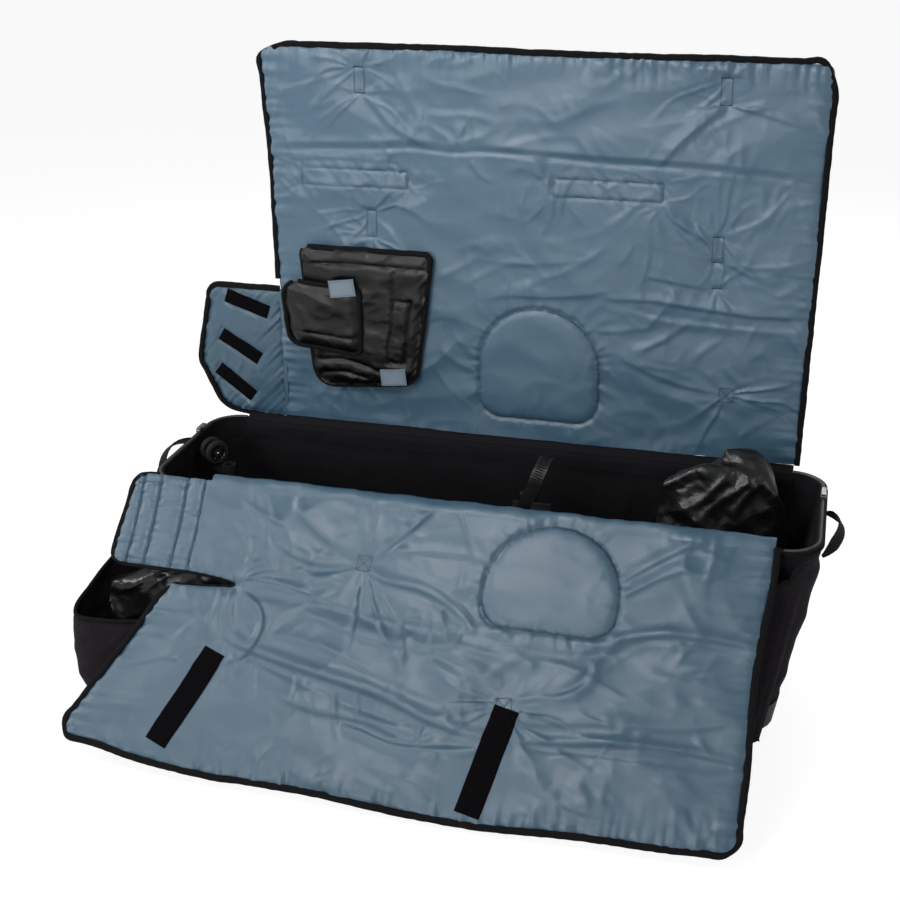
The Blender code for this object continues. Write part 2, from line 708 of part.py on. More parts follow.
def build_cradle(metal, rubber, strap, plastic):
    """The post that carries the frame, its rubber saddle, the ladder strap and the ratchet."""
    x = CRADLE_X
    low = BOARD_TOP + GAP
    saddle_low = SADDLE_TOP - SADDLE[2]
    foot, foot_height = CRADLE_FOOT
    profile = [(foot, low), (foot, low + foot_height), (POST_RADIUS + 0.006, low + foot_height * 2),
               (POST_RADIUS, low + foot_height * 4), (POST_RADIUS, saddle_low - GAP)]
    rings = []
    for r, z in profile:
        rings.append([Vector((x + a, b, z)) for a, b in circle(r, 24)])
    bm = bmesh.new()
    loop_faces(bm, rings)
    finish("cradle_post", bm, metal)

    half = SADDLE[1] / 2
    outline = [(-half, saddle_low), (half, saddle_low), (half, SADDLE_TOP)]
    outline += arc(0.0, SADDLE_TOP, TROUGH_RADIUS, 0.0, -180.0, 10)
    outline += [(-half, SADDLE_TOP)]
    stand = Matrix(((0, 0, 1, x), (1, 0, 0, 0), (0, 1, 0, 0), (0, 0, 0, 1)))
    prism("cradle_saddle", outline, -SADDLE[0] / 2, SADDLE[0] / 2, rubber, frame=stand)

    side = half + GAP + STRAP_THICKNESS / 2
    rise = STRAP_TOP - side
    base = saddle_low + 0.006
    path = [(-side, base), (-side, SADDLE_TOP), (-side, rise)]
    path += [(a, rise + b) for a, b in arc(0.0, 0.0, side, 165.0, 15.0, 10)]
    path += [(side, rise), (side, SADDLE_TOP), (side, base)]
    rings = []
    for i, (y, z) in enumerate(path):
        low = Vector(path[max(i - 1, 0)])
        high = Vector(path[min(i + 1, len(path) - 1)])
        along = (high - low).normalized()
        out = Vector((-along.y, along.x)) * STRAP_THICKNESS / 2
        shift = strap_shift(z)
        ring = []
        for across, depth in ((-1, -1), (1, -1), (1, 1), (-1, 1)):
            ring.append(Vector((x + shift + across * STRAP_WIDTH / 2, y + out.x * depth, z + out.y * depth)))
        rings.append(ring)
    bm = bmesh.new()
    loop_faces(bm, rings)
    finish("ladder_strap", bm, strap)

    ratchet_y = side + STRAP_THICKNESS / 2 + GAP + RATCHET[1] / 2
    ratchet_z = SADDLE_TOP - 0.004
    outline, low, high = box_rings((x + strap_shift(0.0), ratchet_y, ratchet_z), RATCHET)
    add_bevel(prism("ratchet_body", outline, low, high, plastic), 0.003)

    lever_y = ratchet_y + RATCHET[1] / 2 + GAP * 2 + LEVER_THICKNESS / 2
    lever_z = high - LEVER_THICKNESS
    hinge = pivot("ratchet_axis", (x + strap_shift(0.0), lever_y, lever_z))
    half = LEVER_THICKNESS / 2
    outline = arc(0.0, 0.0, half, 0.0, 180.0, 6) + [(-half, -LEVER_LENGTH), (half, -LEVER_LENGTH)]
    stand = Matrix(((0, 0, 1, 0), (1, 0, 0, 0), (0, 1, 0, 0), (0, 0, 0, 1)))
    prism("ratchet_lever", outline, -RATCHET[0] / 2 + 0.003, RATCHET[0] / 2 - 0.003, plastic, hinge, stand)


def strap_shift(z):
    """Sideways place of the ladder strap at height z, which leans with the tube it holds."""
    return max(0.0, z - SADDLE_TOP) * STRAP_LEAN - 0.010


def build_caster(plastic, tube_paint, tyre, metal):
    """The towing caster, stowed upright at the left of the tub."""
    angle = math.radians(CASTER_YAW)
    tube_x = CASTER_X + TOW_REACH * math.cos(angle)
    tube_y = CASTER_Y + TOW_REACH * math.sin(angle)
    tube_place = Matrix.Translation((tube_x, tube_y, 0.0))
    bm = bmesh.new()
    r, w = TOW_TUBE_RADIUS, TOW_TUBE_WALL
    low = BOARD_TOP + GAP
    foot, foot_height = TOW_FOOT
    profile = [(r - w, low), (foot, low), (foot, low + foot_height), (r + 0.004, low + foot_height * 2),
               (r, low + foot_height * 5), (r, TOW_TUBE_TOP), (r - w, TOW_TUBE_TOP)]
    turned(bm, profile, 20, tube_place)
    finish("tow_tube", bm, tube_paint)

    yaw = Matrix.Rotation(math.radians(CASTER_YAW), 4, "Z")
    place = Matrix.Translation((CASTER_X, CASTER_Y, CASTER_Z)) @ yaw
    axle_frame = place @ Matrix.Rotation(math.radians(90), 4, "Y")
    reach = TOW_REACH - TOW_TUBE_RADIUS - GAP
    drop = CASTER_Z - CASTER_RADIUS - 0.004
    tongue = (CASTER_SPACING - CASTER_WIDTH) / 2 - 0.001
    bm = bmesh.new()
    outline = [(-tongue, drop - 0.010), (reach, drop - 0.010), (reach, drop), (tongue, drop),
               (tongue, CASTER_Z + 0.007), (-tongue, CASTER_Z + 0.007)]
    side_on = Matrix(((1, 0, 0, 0), (0, 0, -1, 0), (0, 1, 0, 0), (0, 0, 0, 1)))
    aim = Matrix.Translation((CASTER_X, CASTER_Y, 0.0)) @ yaw
    add_prism(bm, outline, -0.008, 0.008, aim @ side_on)
    bracket = finish("caster_bracket", bm, plastic)
    bm = bmesh.new()
    cylinder(bm, CASTER_AXLE_RADIUS + BORE_CLEARANCE, -CASTER_SPACING, CASTER_SPACING, 16, axle_frame)
    cut_away(bracket, bm, "axle bore", plastic)

    hub = pivot("caster_axis", (CASTER_X, CASTER_Y, CASTER_Z), (0, 0, math.radians(CASTER_YAW)))
    turn = Matrix.Rotation(math.radians(90), 4, "Y")
    bm = bmesh.new()
    reach = CASTER_SPACING / 2 + CASTER_WIDTH / 2 + 0.002
    cylinder(bm, CASTER_AXLE_RADIUS, -reach, reach, 16, turn, 0.0006)
    finish("caster_axle", bm, metal, hub)
    for name, side in (("caster_wheel_outer", 1), ("caster_wheel_inner", -1)):
        bm = bmesh.new()
        centre = side * CASTER_SPACING / 2
        half = CASTER_WIDTH / 2
        bore = CASTER_AXLE_RADIUS + BORE_CLEARANCE
        r = CASTER_RADIUS
        face = [(bore, half), (r * 0.30, half), (r * 0.34, half * 0.4), (r * 0.66, half * 0.4),
                (r * 0.70, half), (r - 0.003, half), (r, half - 0.003)]
        profile = [(a, -b) for a, b in face] + list(reversed(face))
        turned(bm, profile, 24, turn @ Matrix.Translation((0, 0, centre)))
        finish(name, bm, tyre, hub)


def webbing_loop(span, reach, width, thickness, hem):
    """A strap that bows out from two narrow hems on its axis: X outward, Y the axis, Z the width."""
    count = 14
    rings = []
    for i in range(count + 1):
        t = i / count
        bow = math.sin(math.pi * t) ** 0.75 if 0 < i < count else 0.0
        centre = Vector((reach * bow, (t - 0.5) * span, 0.0))
        out = Vector((span / 3, -reach * math.cos(math.pi * t) * 1.2, 0.0)).normalized() * thickness / 2
        tall = Vector((0, 0, hem + (width / 2 - hem) * min(1.0, bow * 1.6)))
        rings.append([centre - out - tall, centre + out - tall, centre + out + tall, centre - out + tall])
    bm = bmesh.new()
    loop_faces(bm, rings)
    return bm


def build_end_handles(webbing):
    """Carry handles sewn to both ends of the tub, which stand up a little."""
    swing = math.hypot(HANDLE_HEM, HANDLE_THICKNESS / 2) + GAP
    for name, side, middle, lift in (("handle_right", 1, RIGHT_HANDLE_Y, RIGHT_HANDLE_LIFT),
                                     ("handle_left", -1, LEFT_HANDLE_Y, LEFT_HANDLE_LIFT)):
        face = HALF_LENGTH - (taper_shift(HANDLE_Z + HANDLE_HEM) if side > 0 else 0.0)
        turn = 0.0 if side > 0 else math.pi
        place_at = (side * (face + swing), middle, HANDLE_Z)
        hinge = pivot(name + "_axis", place_at, (0, math.radians(-lift), turn))
        bm = webbing_loop(HANDLE_SPAN, HANDLE_REACH, HANDLE_WIDTH, HANDLE_THICKNESS, HANDLE_HEM)
        finish(name, bm, webbing, hinge)


def build_zips(coil, metal):
    """Zip coils on the rims of both ends, each with a slider and its pull."""
    for name, side in (("zip_coil_right", 1), ("zip_coil_left", -1)):
        path = [Vector((x, y, WALL_TOP + GAP)) for x, y in end_path(side, -WALL / 2, WALL_TOP)]
        half = COIL_WIDTH / 2
        section = [(-half, 0.0), (half, 0.0), (half * 0.6, COIL_HEIGHT), (-half * 0.6, COIL_HEIGHT)]
        bm = bmesh.new()
        swept(bm, path, section)
        finish(name, bm, coil)
    for name, side, y in (("right", 1, RIGHT_SLIDER_Y), ("left", -1, LEFT_SLIDER_Y)):
        x = side * (HALF_LENGTH - WALL / 2)
        base = WALL_TOP + GAP + COIL_HEIGHT + SLIDE_GAP
        body = pivot("zip_axis_" + name, (x, y, base))
        outline, low, high = box_rings((0, 0, SLIDER[2] / 2), SLIDER)
        add_bevel(prism("zip_slider_" + name, outline, low, high, metal, body), 0.0012)
        pin_place = (x, y - SLIDER[1] / 2 + 0.002, base + SLIDER[2] + GAP + PULL_PIN)
        pin = pivot("zip_pull_axis_" + name, pin_place)
        half = PULL_THICKNESS / 2
        outline = arc(0.0, 0.0, half, 90.0, 270.0, 5)
        outline = [(-a, b) for a, b in outline] + [(-PULL_LENGTH, -half), (-PULL_LENGTH, half)]
        stand = Matrix(((0, 0, 1, 0), (-1, 0, 0, 0), (0, 1, 0, 0), (0, 0, 0, 1)))
        prism("zip_pull_" + name, outline, -PULL_WIDTH / 2, PULL_WIDTH / 2, metal, pin, stand)


def tape_section(width):
    """Section of the folded tape along a panel's edge."""
    a, b = width / 2, BINDING_THICKNESS / 2
    return [(-a, -b * 0.5), (-a * 0.4, -b), (a * 0.4, -b), (a, -b * 0.5),
            (a, b * 0.5), (a * 0.4, b), (-a * 0.4, b), (-a, b * 0.5)]


def binding(name, route, material, parent, widths=None):
    """Folded tape along a panel's free edges, as a bar of rounded section."""
    bm = bmesh.new()
    swept(bm, [Vector((x, y, 0.0)) for x, y in route], tape_section(BINDING_WIDTH), widths)
    return finish(name, bm, material, parent)


def pad_outline(width, height):
    """A rounded D: a round top and a flatter base. The base is at zero, the top at height."""
    half = width / 2
    points = arc(half - PAD_CORNER, PAD_CORNER, PAD_CORNER, -90.0, 0.0, 4)
    points += arc(0.0, height - half, half, 0.0, 180.0, 14)
    points += arc(-half + PAD_CORNER, PAD_CORNER, PAD_CORNER, 180.0, 270.0, 4)
    return points


def place(outline, x, y):
    """Shift an outline in its plane."""
    return [(a + x, b + y) for a, b in outline]


def build_back(lining, tape, pad, hook, webbing):
    """Back panel, its roof flap and its left wing. Local Y runs up the panel, local Z to the lining."""
    half = PANEL / 2
    edge = BINDING_WIDTH / 2 + GAP
    hinge = pivot("back_hinge", (0, HINGE_Y, HINGE_Z), (math.radians(90.0), 0, 0))
    top = BACK_HEIGHT - FOLD_PITCH / 2
    outline = rectangle(BACK_LEFT, BACK_RIGHT, -half * 0.9, top)
    prism("back_panel", outline, -half, half, lining, hinge, bevel=PANEL_ROUND, segments=3)
    right = BACK_RIGHT + edge
    left = BACK_LEFT - edge
    seam = BACK_HEIGHT - FOLD_SETBACK
    binding("back_binding_right", [(right, 0.0), (right, seam)], tape, hinge)
    low = BACK_WING_TOP + BINDING_WIDTH + GAP * 4
    binding("back_binding_left", [(left, low), (left, seam)], tape, hinge)
    outline = place(pad_outline(PAD_WIDTH, BACK_PAD_HEIGHT), BACK_PAD_X, BACK_PAD_BOTTOM)
    item = prism("back_pad", outline, half + GAP, half + GAP + PAD_THICKNESS, pad, hinge)
    add_bevel(item, PAD_THICKNESS * 0.4, 2, 60.0)

    fold = pivot("roof_hinge", (0, BACK_HEIGHT, 0), (0, 0, 0), hinge)
    corners = [(BACK_RIGHT, FOLD_PITCH / 2), (BACK_RIGHT, ROOF_DEPTH),
               (BACK_LEFT, ROOF_DEPTH), (BACK_LEFT, FOLD_PITCH / 2)]
    outline = rounded(corners, [0, PANEL_CORNER, PANEL_CORNER, 0], 5)
    prism("roof_flap", outline, -half, half, lining, fold, bevel=PANEL_ROUND, segments=3)
    route = offset_path(outline, edge)
    route[0] = (route[0][0], FOLD_SETBACK)
    route[-1] = (route[-1][0], FOLD_SETBACK)
    binding("roof_flap_binding", route, tape, fold)

    wing_hinge = pivot("back_wing_hinge", (BACK_LEFT, 0, 0), (0, 0, 0), hinge)
    span = BACK_WING_LEFT - BACK_LEFT
    near = -FOLD_PITCH
    corners = [(near, BACK_WING_TOP), (span + 0.035, BACK_WING_TOP), (span, 0.110),
               (span + BACK_WING_CUT * 0.7, BACK_WING_CUT * 0.4), (near - BACK_WING_HEEL, WING_FOOT),
               (near, WING_FOOT)]
    outline = rounded(corners, [0, 0.014, 0.030, 0.050, 0.030, 0], 4)
    prism("back_wing", outline, -half, half, lining, wing_hinge, bevel=PANEL_ROUND, segments=2)
    binding("back_wing_binding", offset_path(outline[:-1], edge), tape, wing_hinge)
    for name, x, y, angle in LOOP_STRIPS:
        turn = Matrix.Translation((x, y, 0)) @ Matrix.Rotation(math.radians(angle), 4, "Z")
        outline = rectangle(-LOOP_LENGTH / 2, LOOP_LENGTH / 2, -LOOP_WIDTH / 2, LOOP_WIDTH / 2)
        prism(name, outline, half + GAP, half + GAP + STRIP_THICKNESS, hook, wing_hinge, turn)
    build_top_handles(webbing, hinge, half)
    return hinge


def build_top_handles(webbing, hinge, half):
    """Two carry handles on the outside of the back panel, near the roof fold."""
    for name, x in zip(("top_handle_left", "top_handle_right"), TOP_HANDLE_X):
        depth = -half - GAP - HANDLE_THICKNESS / 2
        axis = pivot(name + "_axis", (x, TOP_HANDLE_HEIGHT, depth), (0, 0, 0), hinge)
        span, drop, width = TOP_HANDLE_SPAN / 2, TOP_HANDLE_DROP, HANDLE_WIDTH
        outer = rounded([(-span, 0.0), (-span, -drop), (span, -drop), (span, 0.0)], [0, 0.035, 0.035, 0], 5)
        inner = rounded([(-span + width, 0.0), (-span + width, -drop + width), (span - width, -drop + width),
                         (span - width, 0.0)], [0, 0.014, 0.014, 0], 5)
        outline = outer + list(reversed(inner))
        prism(name, outline, -HANDLE_THICKNESS / 2, HANDLE_THICKNESS / 2, webbing, axis)


def fold_depth(x):
    """Depth of the front panel's fold line at x, which runs deeper to the right."""
    share = (x - SLIT_END) / (FRONT_RIGHT - SLIT_END)
    return SLIT_DEPTH + (FOLD_DEPTH_RIGHT - SLIT_DEPTH) * share


def build_front(lining, tape, pad, hook):
    """Front panel in two sections with its left wing. Local -Y runs down the slope."""
    half = PANEL / 2
    edge = BINDING_WIDTH / 2 + GAP
    slit = SLIT_BINDING_WIDTH
    hinge = pivot("front_hinge", (0, -HINGE_Y, HINGE_Z), (math.radians(FRONT_SLOPE), 0, 0))
    tilt = math.atan2(-(FOLD_DEPTH_RIGHT - SLIT_DEPTH), FRONT_RIGHT - SLIT_END)
    wing_edge = SLIT_DEPTH - SLIT_OPENING - slit - GAP
    corners = [(FRONT_LEFT, -wing_edge), (SLIT_END, -wing_edge), (SLIT_END, -SLIT_DEPTH + FOLD_PITCH / 2),
               (FRONT_RIGHT, -fold_depth(FRONT_RIGHT) + FOLD_PITCH / 2), (FRONT_RIGHT, half * 0.9),
               (FRONT_LEFT, half * 0.9)]
    prism("front_panel_upper", corners, -half, half, lining, hinge, bevel=PANEL_ROUND, segments=3)
    right = FRONT_RIGHT + edge
    seam = -fold_depth(FRONT_RIGHT) + FOLD_SETBACK
    binding("front_upper_binding", [(right, 0.0), (right, seam)], tape, hinge)
    pad_base = -FRONT_PAD_TOP - FRONT_PAD_HEIGHT
    outline = place(pad_outline(PAD_WIDTH, FRONT_PAD_HEIGHT), FRONT_PAD_X, pad_base)
    item = prism("front_pad", outline, half + GAP, half + GAP + PAD_THICKNESS, pad, hinge)
    add_bevel(item, PAD_THICKNESS * 0.4, 2, 60.0)

    fold = pivot("front_fold", (SLIT_END, -SLIT_DEPTH, 0), (0, 0, tilt), hinge)
    fold.matrix_local = (Matrix.Translation((SLIT_END, -SLIT_DEPTH, 0)) @ Matrix.Rotation(tilt, 4, "Z")
                         @ Matrix.Rotation(math.radians(-FOLD_LIFT), 4, "X"))
    back_turn = Matrix.Rotation(-tilt, 4, "Z") @ Matrix.Translation((-SLIT_END, SLIT_DEPTH, 0))

    def local(points):
        """Points of the hinge's frame, in the fold's frame."""
        moved = [back_turn @ Vector((x, y, 0)) for x, y in points]
        return [(p.x, p.y) for p in moved]

    drop = FOLD_PITCH / 2
    low_slit = SLIT_DEPTH + GAP + slit + GAP
    corners = [(SLIT_END, -SLIT_DEPTH - drop), (SLIT_END, -low_slit), (SLIT_LOW_LEFT, -low_slit),
               (FRONT_WAIST_LEFT, -FRONT_WAIST_DEPTH), (FRONT_LOW_LEFT, -FRONT_DEPTH_LEFT),
               (-0.330, -FRONT_DEPTH_MIDDLE + 0.006), (0.160, -FRONT_DEPTH_MIDDLE),
               (FRONT_RIGHT - 0.022, -FRONT_DEPTH_RIGHT), (FRONT_RIGHT, -fold_depth(FRONT_RIGHT) - drop)]
    outline = rounded(local(corners), [0, 0, 0.012, 0.10, PANEL_CORNER * 0.9, 0.9, 0.6, PANEL_CORNER, 0], 5)
    prism("front_panel_lower", outline, -half, half, lining, fold, bevel=PANEL_ROUND, segments=3)
    slit_line = -low_slit + GAP + slit / 2
    free = offset_path(outline[2:], edge)
    top_left = local([(SLIT_LOW_LEFT, -low_slit - BINDING_WIDTH)])[0][1]
    free = [point for point in free if point[0] > 0 or point[1] < top_left]
    free[-1] = (free[-1][0], -FOLD_SETBACK)
    slit_route = local([(SLIT_END - GAP * 4, slit_line), (SLIT_LOW_LEFT - edge, slit_line)])
    narrow = slit / BINDING_WIDTH
    widths = [narrow, narrow] + [1.0] * len(free)
    binding("front_lower_binding", slit_route + free, tape, fold, widths)

    for name, x, depth, angle in (("hook_strip_left", LEFT_HOOK_X, LEFT_HOOK_DEPTH, LEFT_HOOK_ANGLE),
                                  ("hook_strip_right", RIGHT_HOOK_X, RIGHT_HOOK_DEPTH, RIGHT_HOOK_ANGLE)):
        turn = back_turn @ Matrix.Translation((x, -depth, 0)) @ Matrix.Rotation(math.radians(angle), 4, "Z")
        outline = rectangle(-HOOK_WIDTH / 2, HOOK_WIDTH / 2, -HOOK_LENGTH / 2, HOOK_LENGTH / 2)
        prism(name, outline, half + GAP, half + GAP + STRIP_THICKNESS, hook, fold, turn)
    build_front_wing(lining, tape, hinge, half, edge, wing_edge)


def build_front_wing(lining, tape, hinge, half, edge, wing_edge):
    """The quilted wing left of the front panel, with sewn channels along its bend."""
    wing_hinge = pivot("front_wing_hinge", (FRONT_LEFT, 0, 0), (0, 0, 0), hinge)
    span = FRONT_WING_LEFT - FRONT_LEFT
    near = -FOLD_PITCH
    pitch = (near - span) / CHANNEL_COUNT
    profile = []
    for k in range(CHANNEL_COUNT):
        start = near - pitch * k
        crown = half
        valley = half - CHANNEL_DEPTH
        profile += [(start - CHANNEL_WIDTH * 0.25, valley), (start - CHANNEL_WIDTH, crown * 0.97),
                    (start - pitch / 2, crown), (start - pitch + CHANNEL_WIDTH, crown * 0.97)]
    profile += [(span + 0.0005, valley), (span, -half * 0.6), (span + 0.003, -half), (near - 0.003, -half),
                (near, -half * 0.6)]
    lean = 0.010
    low, high = -wing_edge, half * 0.5
    rings = []
    for y in (low, (low + high) / 2, high):
        share = (y - low) / (high - low)
        rings.append([Vector((x + lean * (share - 0.5) * (x / span), y, z)) for x, z in profile])
    bm = bmesh.new()
    loop_faces(bm, rings)
    finish("front_wing", bm, lining, wing_hinge)
    outer = span - edge - lean * 0.5
    slit_y = -wing_edge - GAP - SLIT_BINDING_WIDTH / 2
    route = [(outer, high), (outer, slit_y - SLIT_BINDING_WIDTH * 0.3),
             (outer + BINDING_WIDTH * 0.7, slit_y), (near, slit_y)]
    narrow = SLIT_BINDING_WIDTH / BINDING_WIDTH
    binding("front_wing_binding", route, tape, wing_hinge, [1.0, 0.8, narrow, narrow])


def build_wrap(quilt, lining, strap):
    """The padded frame wrap, hung against the back panel by its top edge, with its lapel and straps."""
    back = HINGE_Y - PANEL / 2 - 0.002
    y = back - WRAP_THICKNESS / 2
    hinge = pivot("wrap_hinge", (0, y, WRAP_TOP), (math.radians(90), 0, 0))
    drop = WRAP_TOP - WRAP_BOTTOM
    half = WRAP_THICKNESS / 2
    corners = [(WRAP_LEFT, 0.0), (WRAP_LEFT + 0.020, -drop),
               (WRAP_RIGHT - 0.035, -drop + 0.020), (WRAP_RIGHT, 0.0)]
    outline = rounded(corners, [0.012, 0.040, 0.040, 0.012], 4)
    prism("frame_wrap", outline, -half, half, quilt, hinge, bevel=half * 0.7, segments=2)
    front = half + GAP
    top, low = LAPEL_TOP - WRAP_TOP, LAPEL_BOTTOM - WRAP_TOP
    corners = [(WRAP_LEFT - 0.040, top), (WRAP_LEFT - 0.030, low), (WRAP_LEFT + LAPEL_WIDTH, low - 0.015),
               (WRAP_LEFT + LAPEL_WIDTH, top - 0.010)]
    outline = rounded(corners, [0.030, 0.030, 0.015, 0.015], 4)
    prism("wrap_lapel", outline, front, front + LAPEL_THICKNESS, lining, hinge, bevel=LAPEL_THICKNESS * 0.35)
    upper = ("wrap_strap_upper", WRAP_LEFT + 0.088, -0.072, 8.0, LAPEL_THICKNESS + GAP)
    lower = ("wrap_strap_lower", WRAP_LEFT + 0.185, -drop + 0.034, 6.0, 0.0)
    for name, x, z, angle, lift in (upper, lower):
        turn = Matrix.Translation((x, z, 0)) @ Matrix.Rotation(math.radians(angle), 4, "Z")
        outline = rectangle(-WRAP_STRAP[0] / 2, WRAP_STRAP[0] / 2, -WRAP_STRAP[1] / 2, WRAP_STRAP[1] / 2)
        prism(name, outline, front + lift, front + lift + WRAP_STRAP[2], strap, hinge, turn)


def build_cover(material):
    """The empty cover bag for the drive side, slumped at the right of the tub."""
    a, b = COVER_SIZE[0] / 2, COVER_SIZE[1] / 2
    rings = []
    levels = 9
    for k in range(levels + 1):
        t = k / levels
        z = BOARD_TOP + GAP + COVER_SIZE[2] * t
        slump = 0.42 * max(0.0, t - COVER_SHOULDER) ** 1.2
        grow = 0.80 + 0.20 * math.sin(math.pi * min(1.0, t * 1.3)) - slump
        ring = []
        for i in range(18):
            angle = 2 * math.pi * i / 18
            c, s = math.cos(angle), math.sin(angle)
            ripple = 1.0 + 0.035 * math.sin(3 * angle + 4.0 * t)
            x = COVER_X + math.copysign(abs(c) ** 0.7, c) * a * grow * ripple + 0.018 * math.sin(2.2 * t)
            y = COVER_Y + math.copysign(abs(s) ** 0.7, s) * b * grow * ripple
            ring.append(Vector((x, y, z + 0.012 * math.sin(2 * angle) * t)))
        rings.append(ring)
    bm = bmesh.new()
    loop_faces(bm, rings)
    finish("cover_bag", bm, material)


def build():
    """Make every material and every sub-part."""
    clear_scene()
    lining = make_material("blue_lining", (0.16, 0.23, 0.29), 0.42)
    tape = make_material("black_tape", (0.012, 0.012, 0.013), 0.75)
    shell = make_material("black_shell_fabric", (0.018, 0.016, 0.020), 0.85)
    pocket = make_material("heather_fabric", (0.045, 0.038, 0.050), 0.90)
    nylon = make_material("black_nylon", (0.012, 0.012, 0.013), 0.38)
    plastic = make_material("black_plastic", (0.020, 0.020, 0.021), 0.45)
    rubber = make_material("black_rubber", (0.025, 0.025, 0.026), 0.70)
    metal = make_material("dark_metal", (0.30, 0.30, 0.31), 0.35, 1.0)
    webbing = make_material("black_webbing", (0.015, 0.015, 0.016), 0.80)
    hook = make_material("black_hook_strip", (0.008, 0.008, 0.009), 0.90)
    coil = make_material("grey_zip_coil", (0.12, 0.12, 0.13), 0.50)
    board = make_material("black_board", (0.020, 0.020, 0.022), 0.80)
    strap = make_material("blue_grey_strap", (0.15, 0.21, 0.26), 0.70)

    build_base(plastic, board)
    build_walls(shell)
    build_pockets(pocket, tape, nylon)
    build_rollers(plastic, rubber, metal)
    build_cradle(metal, rubber, webbing, plastic)
    build_caster(plastic, plastic, rubber, metal)
    build_end_handles(webbing)
    build_zips(coil, metal)
    build_back(lining, tape, lining, hook, webbing)
    build_front(lining, tape, lining, hook)
    build_wrap(nylon, lining, strap)
    build_cover(nylon)


build()
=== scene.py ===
"""Bike travel case, dressed with padded cloth, edge tape and thread on its fixed frame. Metres, +Z up."""
import json
import math

import bpy
import numpy as np
from mathutils import Matrix, Vector

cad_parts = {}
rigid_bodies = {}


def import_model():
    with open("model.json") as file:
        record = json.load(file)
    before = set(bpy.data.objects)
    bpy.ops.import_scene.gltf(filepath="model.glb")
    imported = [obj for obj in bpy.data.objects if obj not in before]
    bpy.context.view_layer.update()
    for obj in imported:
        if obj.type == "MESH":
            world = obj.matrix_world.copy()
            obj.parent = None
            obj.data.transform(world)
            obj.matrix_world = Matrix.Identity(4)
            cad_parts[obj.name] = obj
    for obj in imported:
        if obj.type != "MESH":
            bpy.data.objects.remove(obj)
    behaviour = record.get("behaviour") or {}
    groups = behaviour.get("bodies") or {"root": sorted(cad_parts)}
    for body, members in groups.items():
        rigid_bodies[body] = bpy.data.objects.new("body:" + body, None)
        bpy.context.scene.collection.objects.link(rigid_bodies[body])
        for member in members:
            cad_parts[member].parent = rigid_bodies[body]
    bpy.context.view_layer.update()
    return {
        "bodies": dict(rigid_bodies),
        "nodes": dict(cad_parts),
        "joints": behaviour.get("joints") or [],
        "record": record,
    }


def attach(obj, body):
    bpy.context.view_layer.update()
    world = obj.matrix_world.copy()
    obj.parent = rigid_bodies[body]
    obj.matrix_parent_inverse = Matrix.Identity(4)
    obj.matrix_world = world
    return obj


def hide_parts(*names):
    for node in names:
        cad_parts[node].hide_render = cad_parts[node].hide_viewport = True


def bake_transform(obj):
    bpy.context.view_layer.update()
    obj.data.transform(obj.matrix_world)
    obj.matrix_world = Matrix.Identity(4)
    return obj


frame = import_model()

# Places and sizes that the frame was built to
HINGE_Z = 0.386
HINGE_Y = 0.1765
HALF_LENGTH = 0.620
HALF_WIDTH = 0.170
CORNER = 0.065
RIM = 0.380
WALL_FOOT = 0.0152
WALL = 0.012
FOOT_INSET = 0.060
BACK_LEFT, BACK_RIGHT = -0.468, 0.558
BACK_HEIGHT, BACK_TOP = 0.545, 0.744
WING_TOP = 0.271
FRONT_LEFT, FRONT_RIGHT = -0.480, 0.530
SLIT_END = -0.392
SLIT_MIDDLE = 0.179
FOLD_LIFT = math.radians(5.4)

# The tub's rim rolls over from this height with this radius
ROLL_FOOT, ROLL = 0.3765, 0.0034

# Cell of a fine grid, cells of it to one cell of the face behind, and size that creases are drawn at
PITCH = 0.003
BLOCK = 4
CREASE_SIZE = 0.72


# Numbers and meshes
def noise(x, y, cell, seed):
    """Gradient noise: a random slope at each corner of square cells, blended by 6t^5 - 15t^4 + 10t^3."""
    corners = 64
    turn = np.random.default_rng(seed).uniform(0.0, 2 * np.pi, (corners, corners))
    u, v = x / cell + 37.3, y / cell + 21.7
    i, j = np.floor(u).astype(int), np.floor(v).astype(int)
    a, b = u - i, v - j
    fade = lambda t: t ** 3 * (t * (6 * t - 15) + 10)
    out = 0.0
    for p in (0, 1):
        for q in (0, 1):
            way = turn[(i + p) % corners, (j + q) % corners]
            weight = (fade(a) if p else 1 - fade(a)) * (fade(b) if q else 1 - fade(b))
            out = out + weight * (np.cos(way) * (a - p) + np.sin(way) * (b - q))
    return out * 1.5


def layered(x, y, cell, seed, layers=3):
    """Noise summed over layers, each half the cell and half the height of the last."""
    return sum(noise(x, y, cell / 2 ** k, seed + k) / 2 ** k for k in range(layers))


def ridges(x, y, cell, seed, sharp=6.0):
    """Thin ridges where gradient noise crosses zero: exp(-(sharp * noise)^2)."""
    return np.exp(-(sharp * noise(x, y, cell, seed)) ** 2)


def ease(low, high, value):
    """0 below low, 1 above high, 3t^2 - 2t^3 between."""
    t = np.clip((value - low) / (high - low), 0.0, 1.0)
    return t * t * (3 - 2 * t)


def unit(vectors):
    """The vectors at a length of one."""
    return vectors / np.linalg.norm(vectors, axis=1)[:, None]


def run_length(line):
    """How far along a line each of its points is."""
    return np.r_[0.0, np.cumsum(np.linalg.norm(np.diff(line, axis=0), axis=1))]


def even(line, spacing):
    """The same line in steps of equal length, near the given spacing."""
    line = np.asarray(line, float)
    far = run_length(line)
    count = max(2, int(round(far[-1] / spacing)) + 1)
    at = np.linspace(0.0, far[-1], count)
    return np.stack([np.interp(at, far, line[:, k]) for k in range(line.shape[1])], 1)


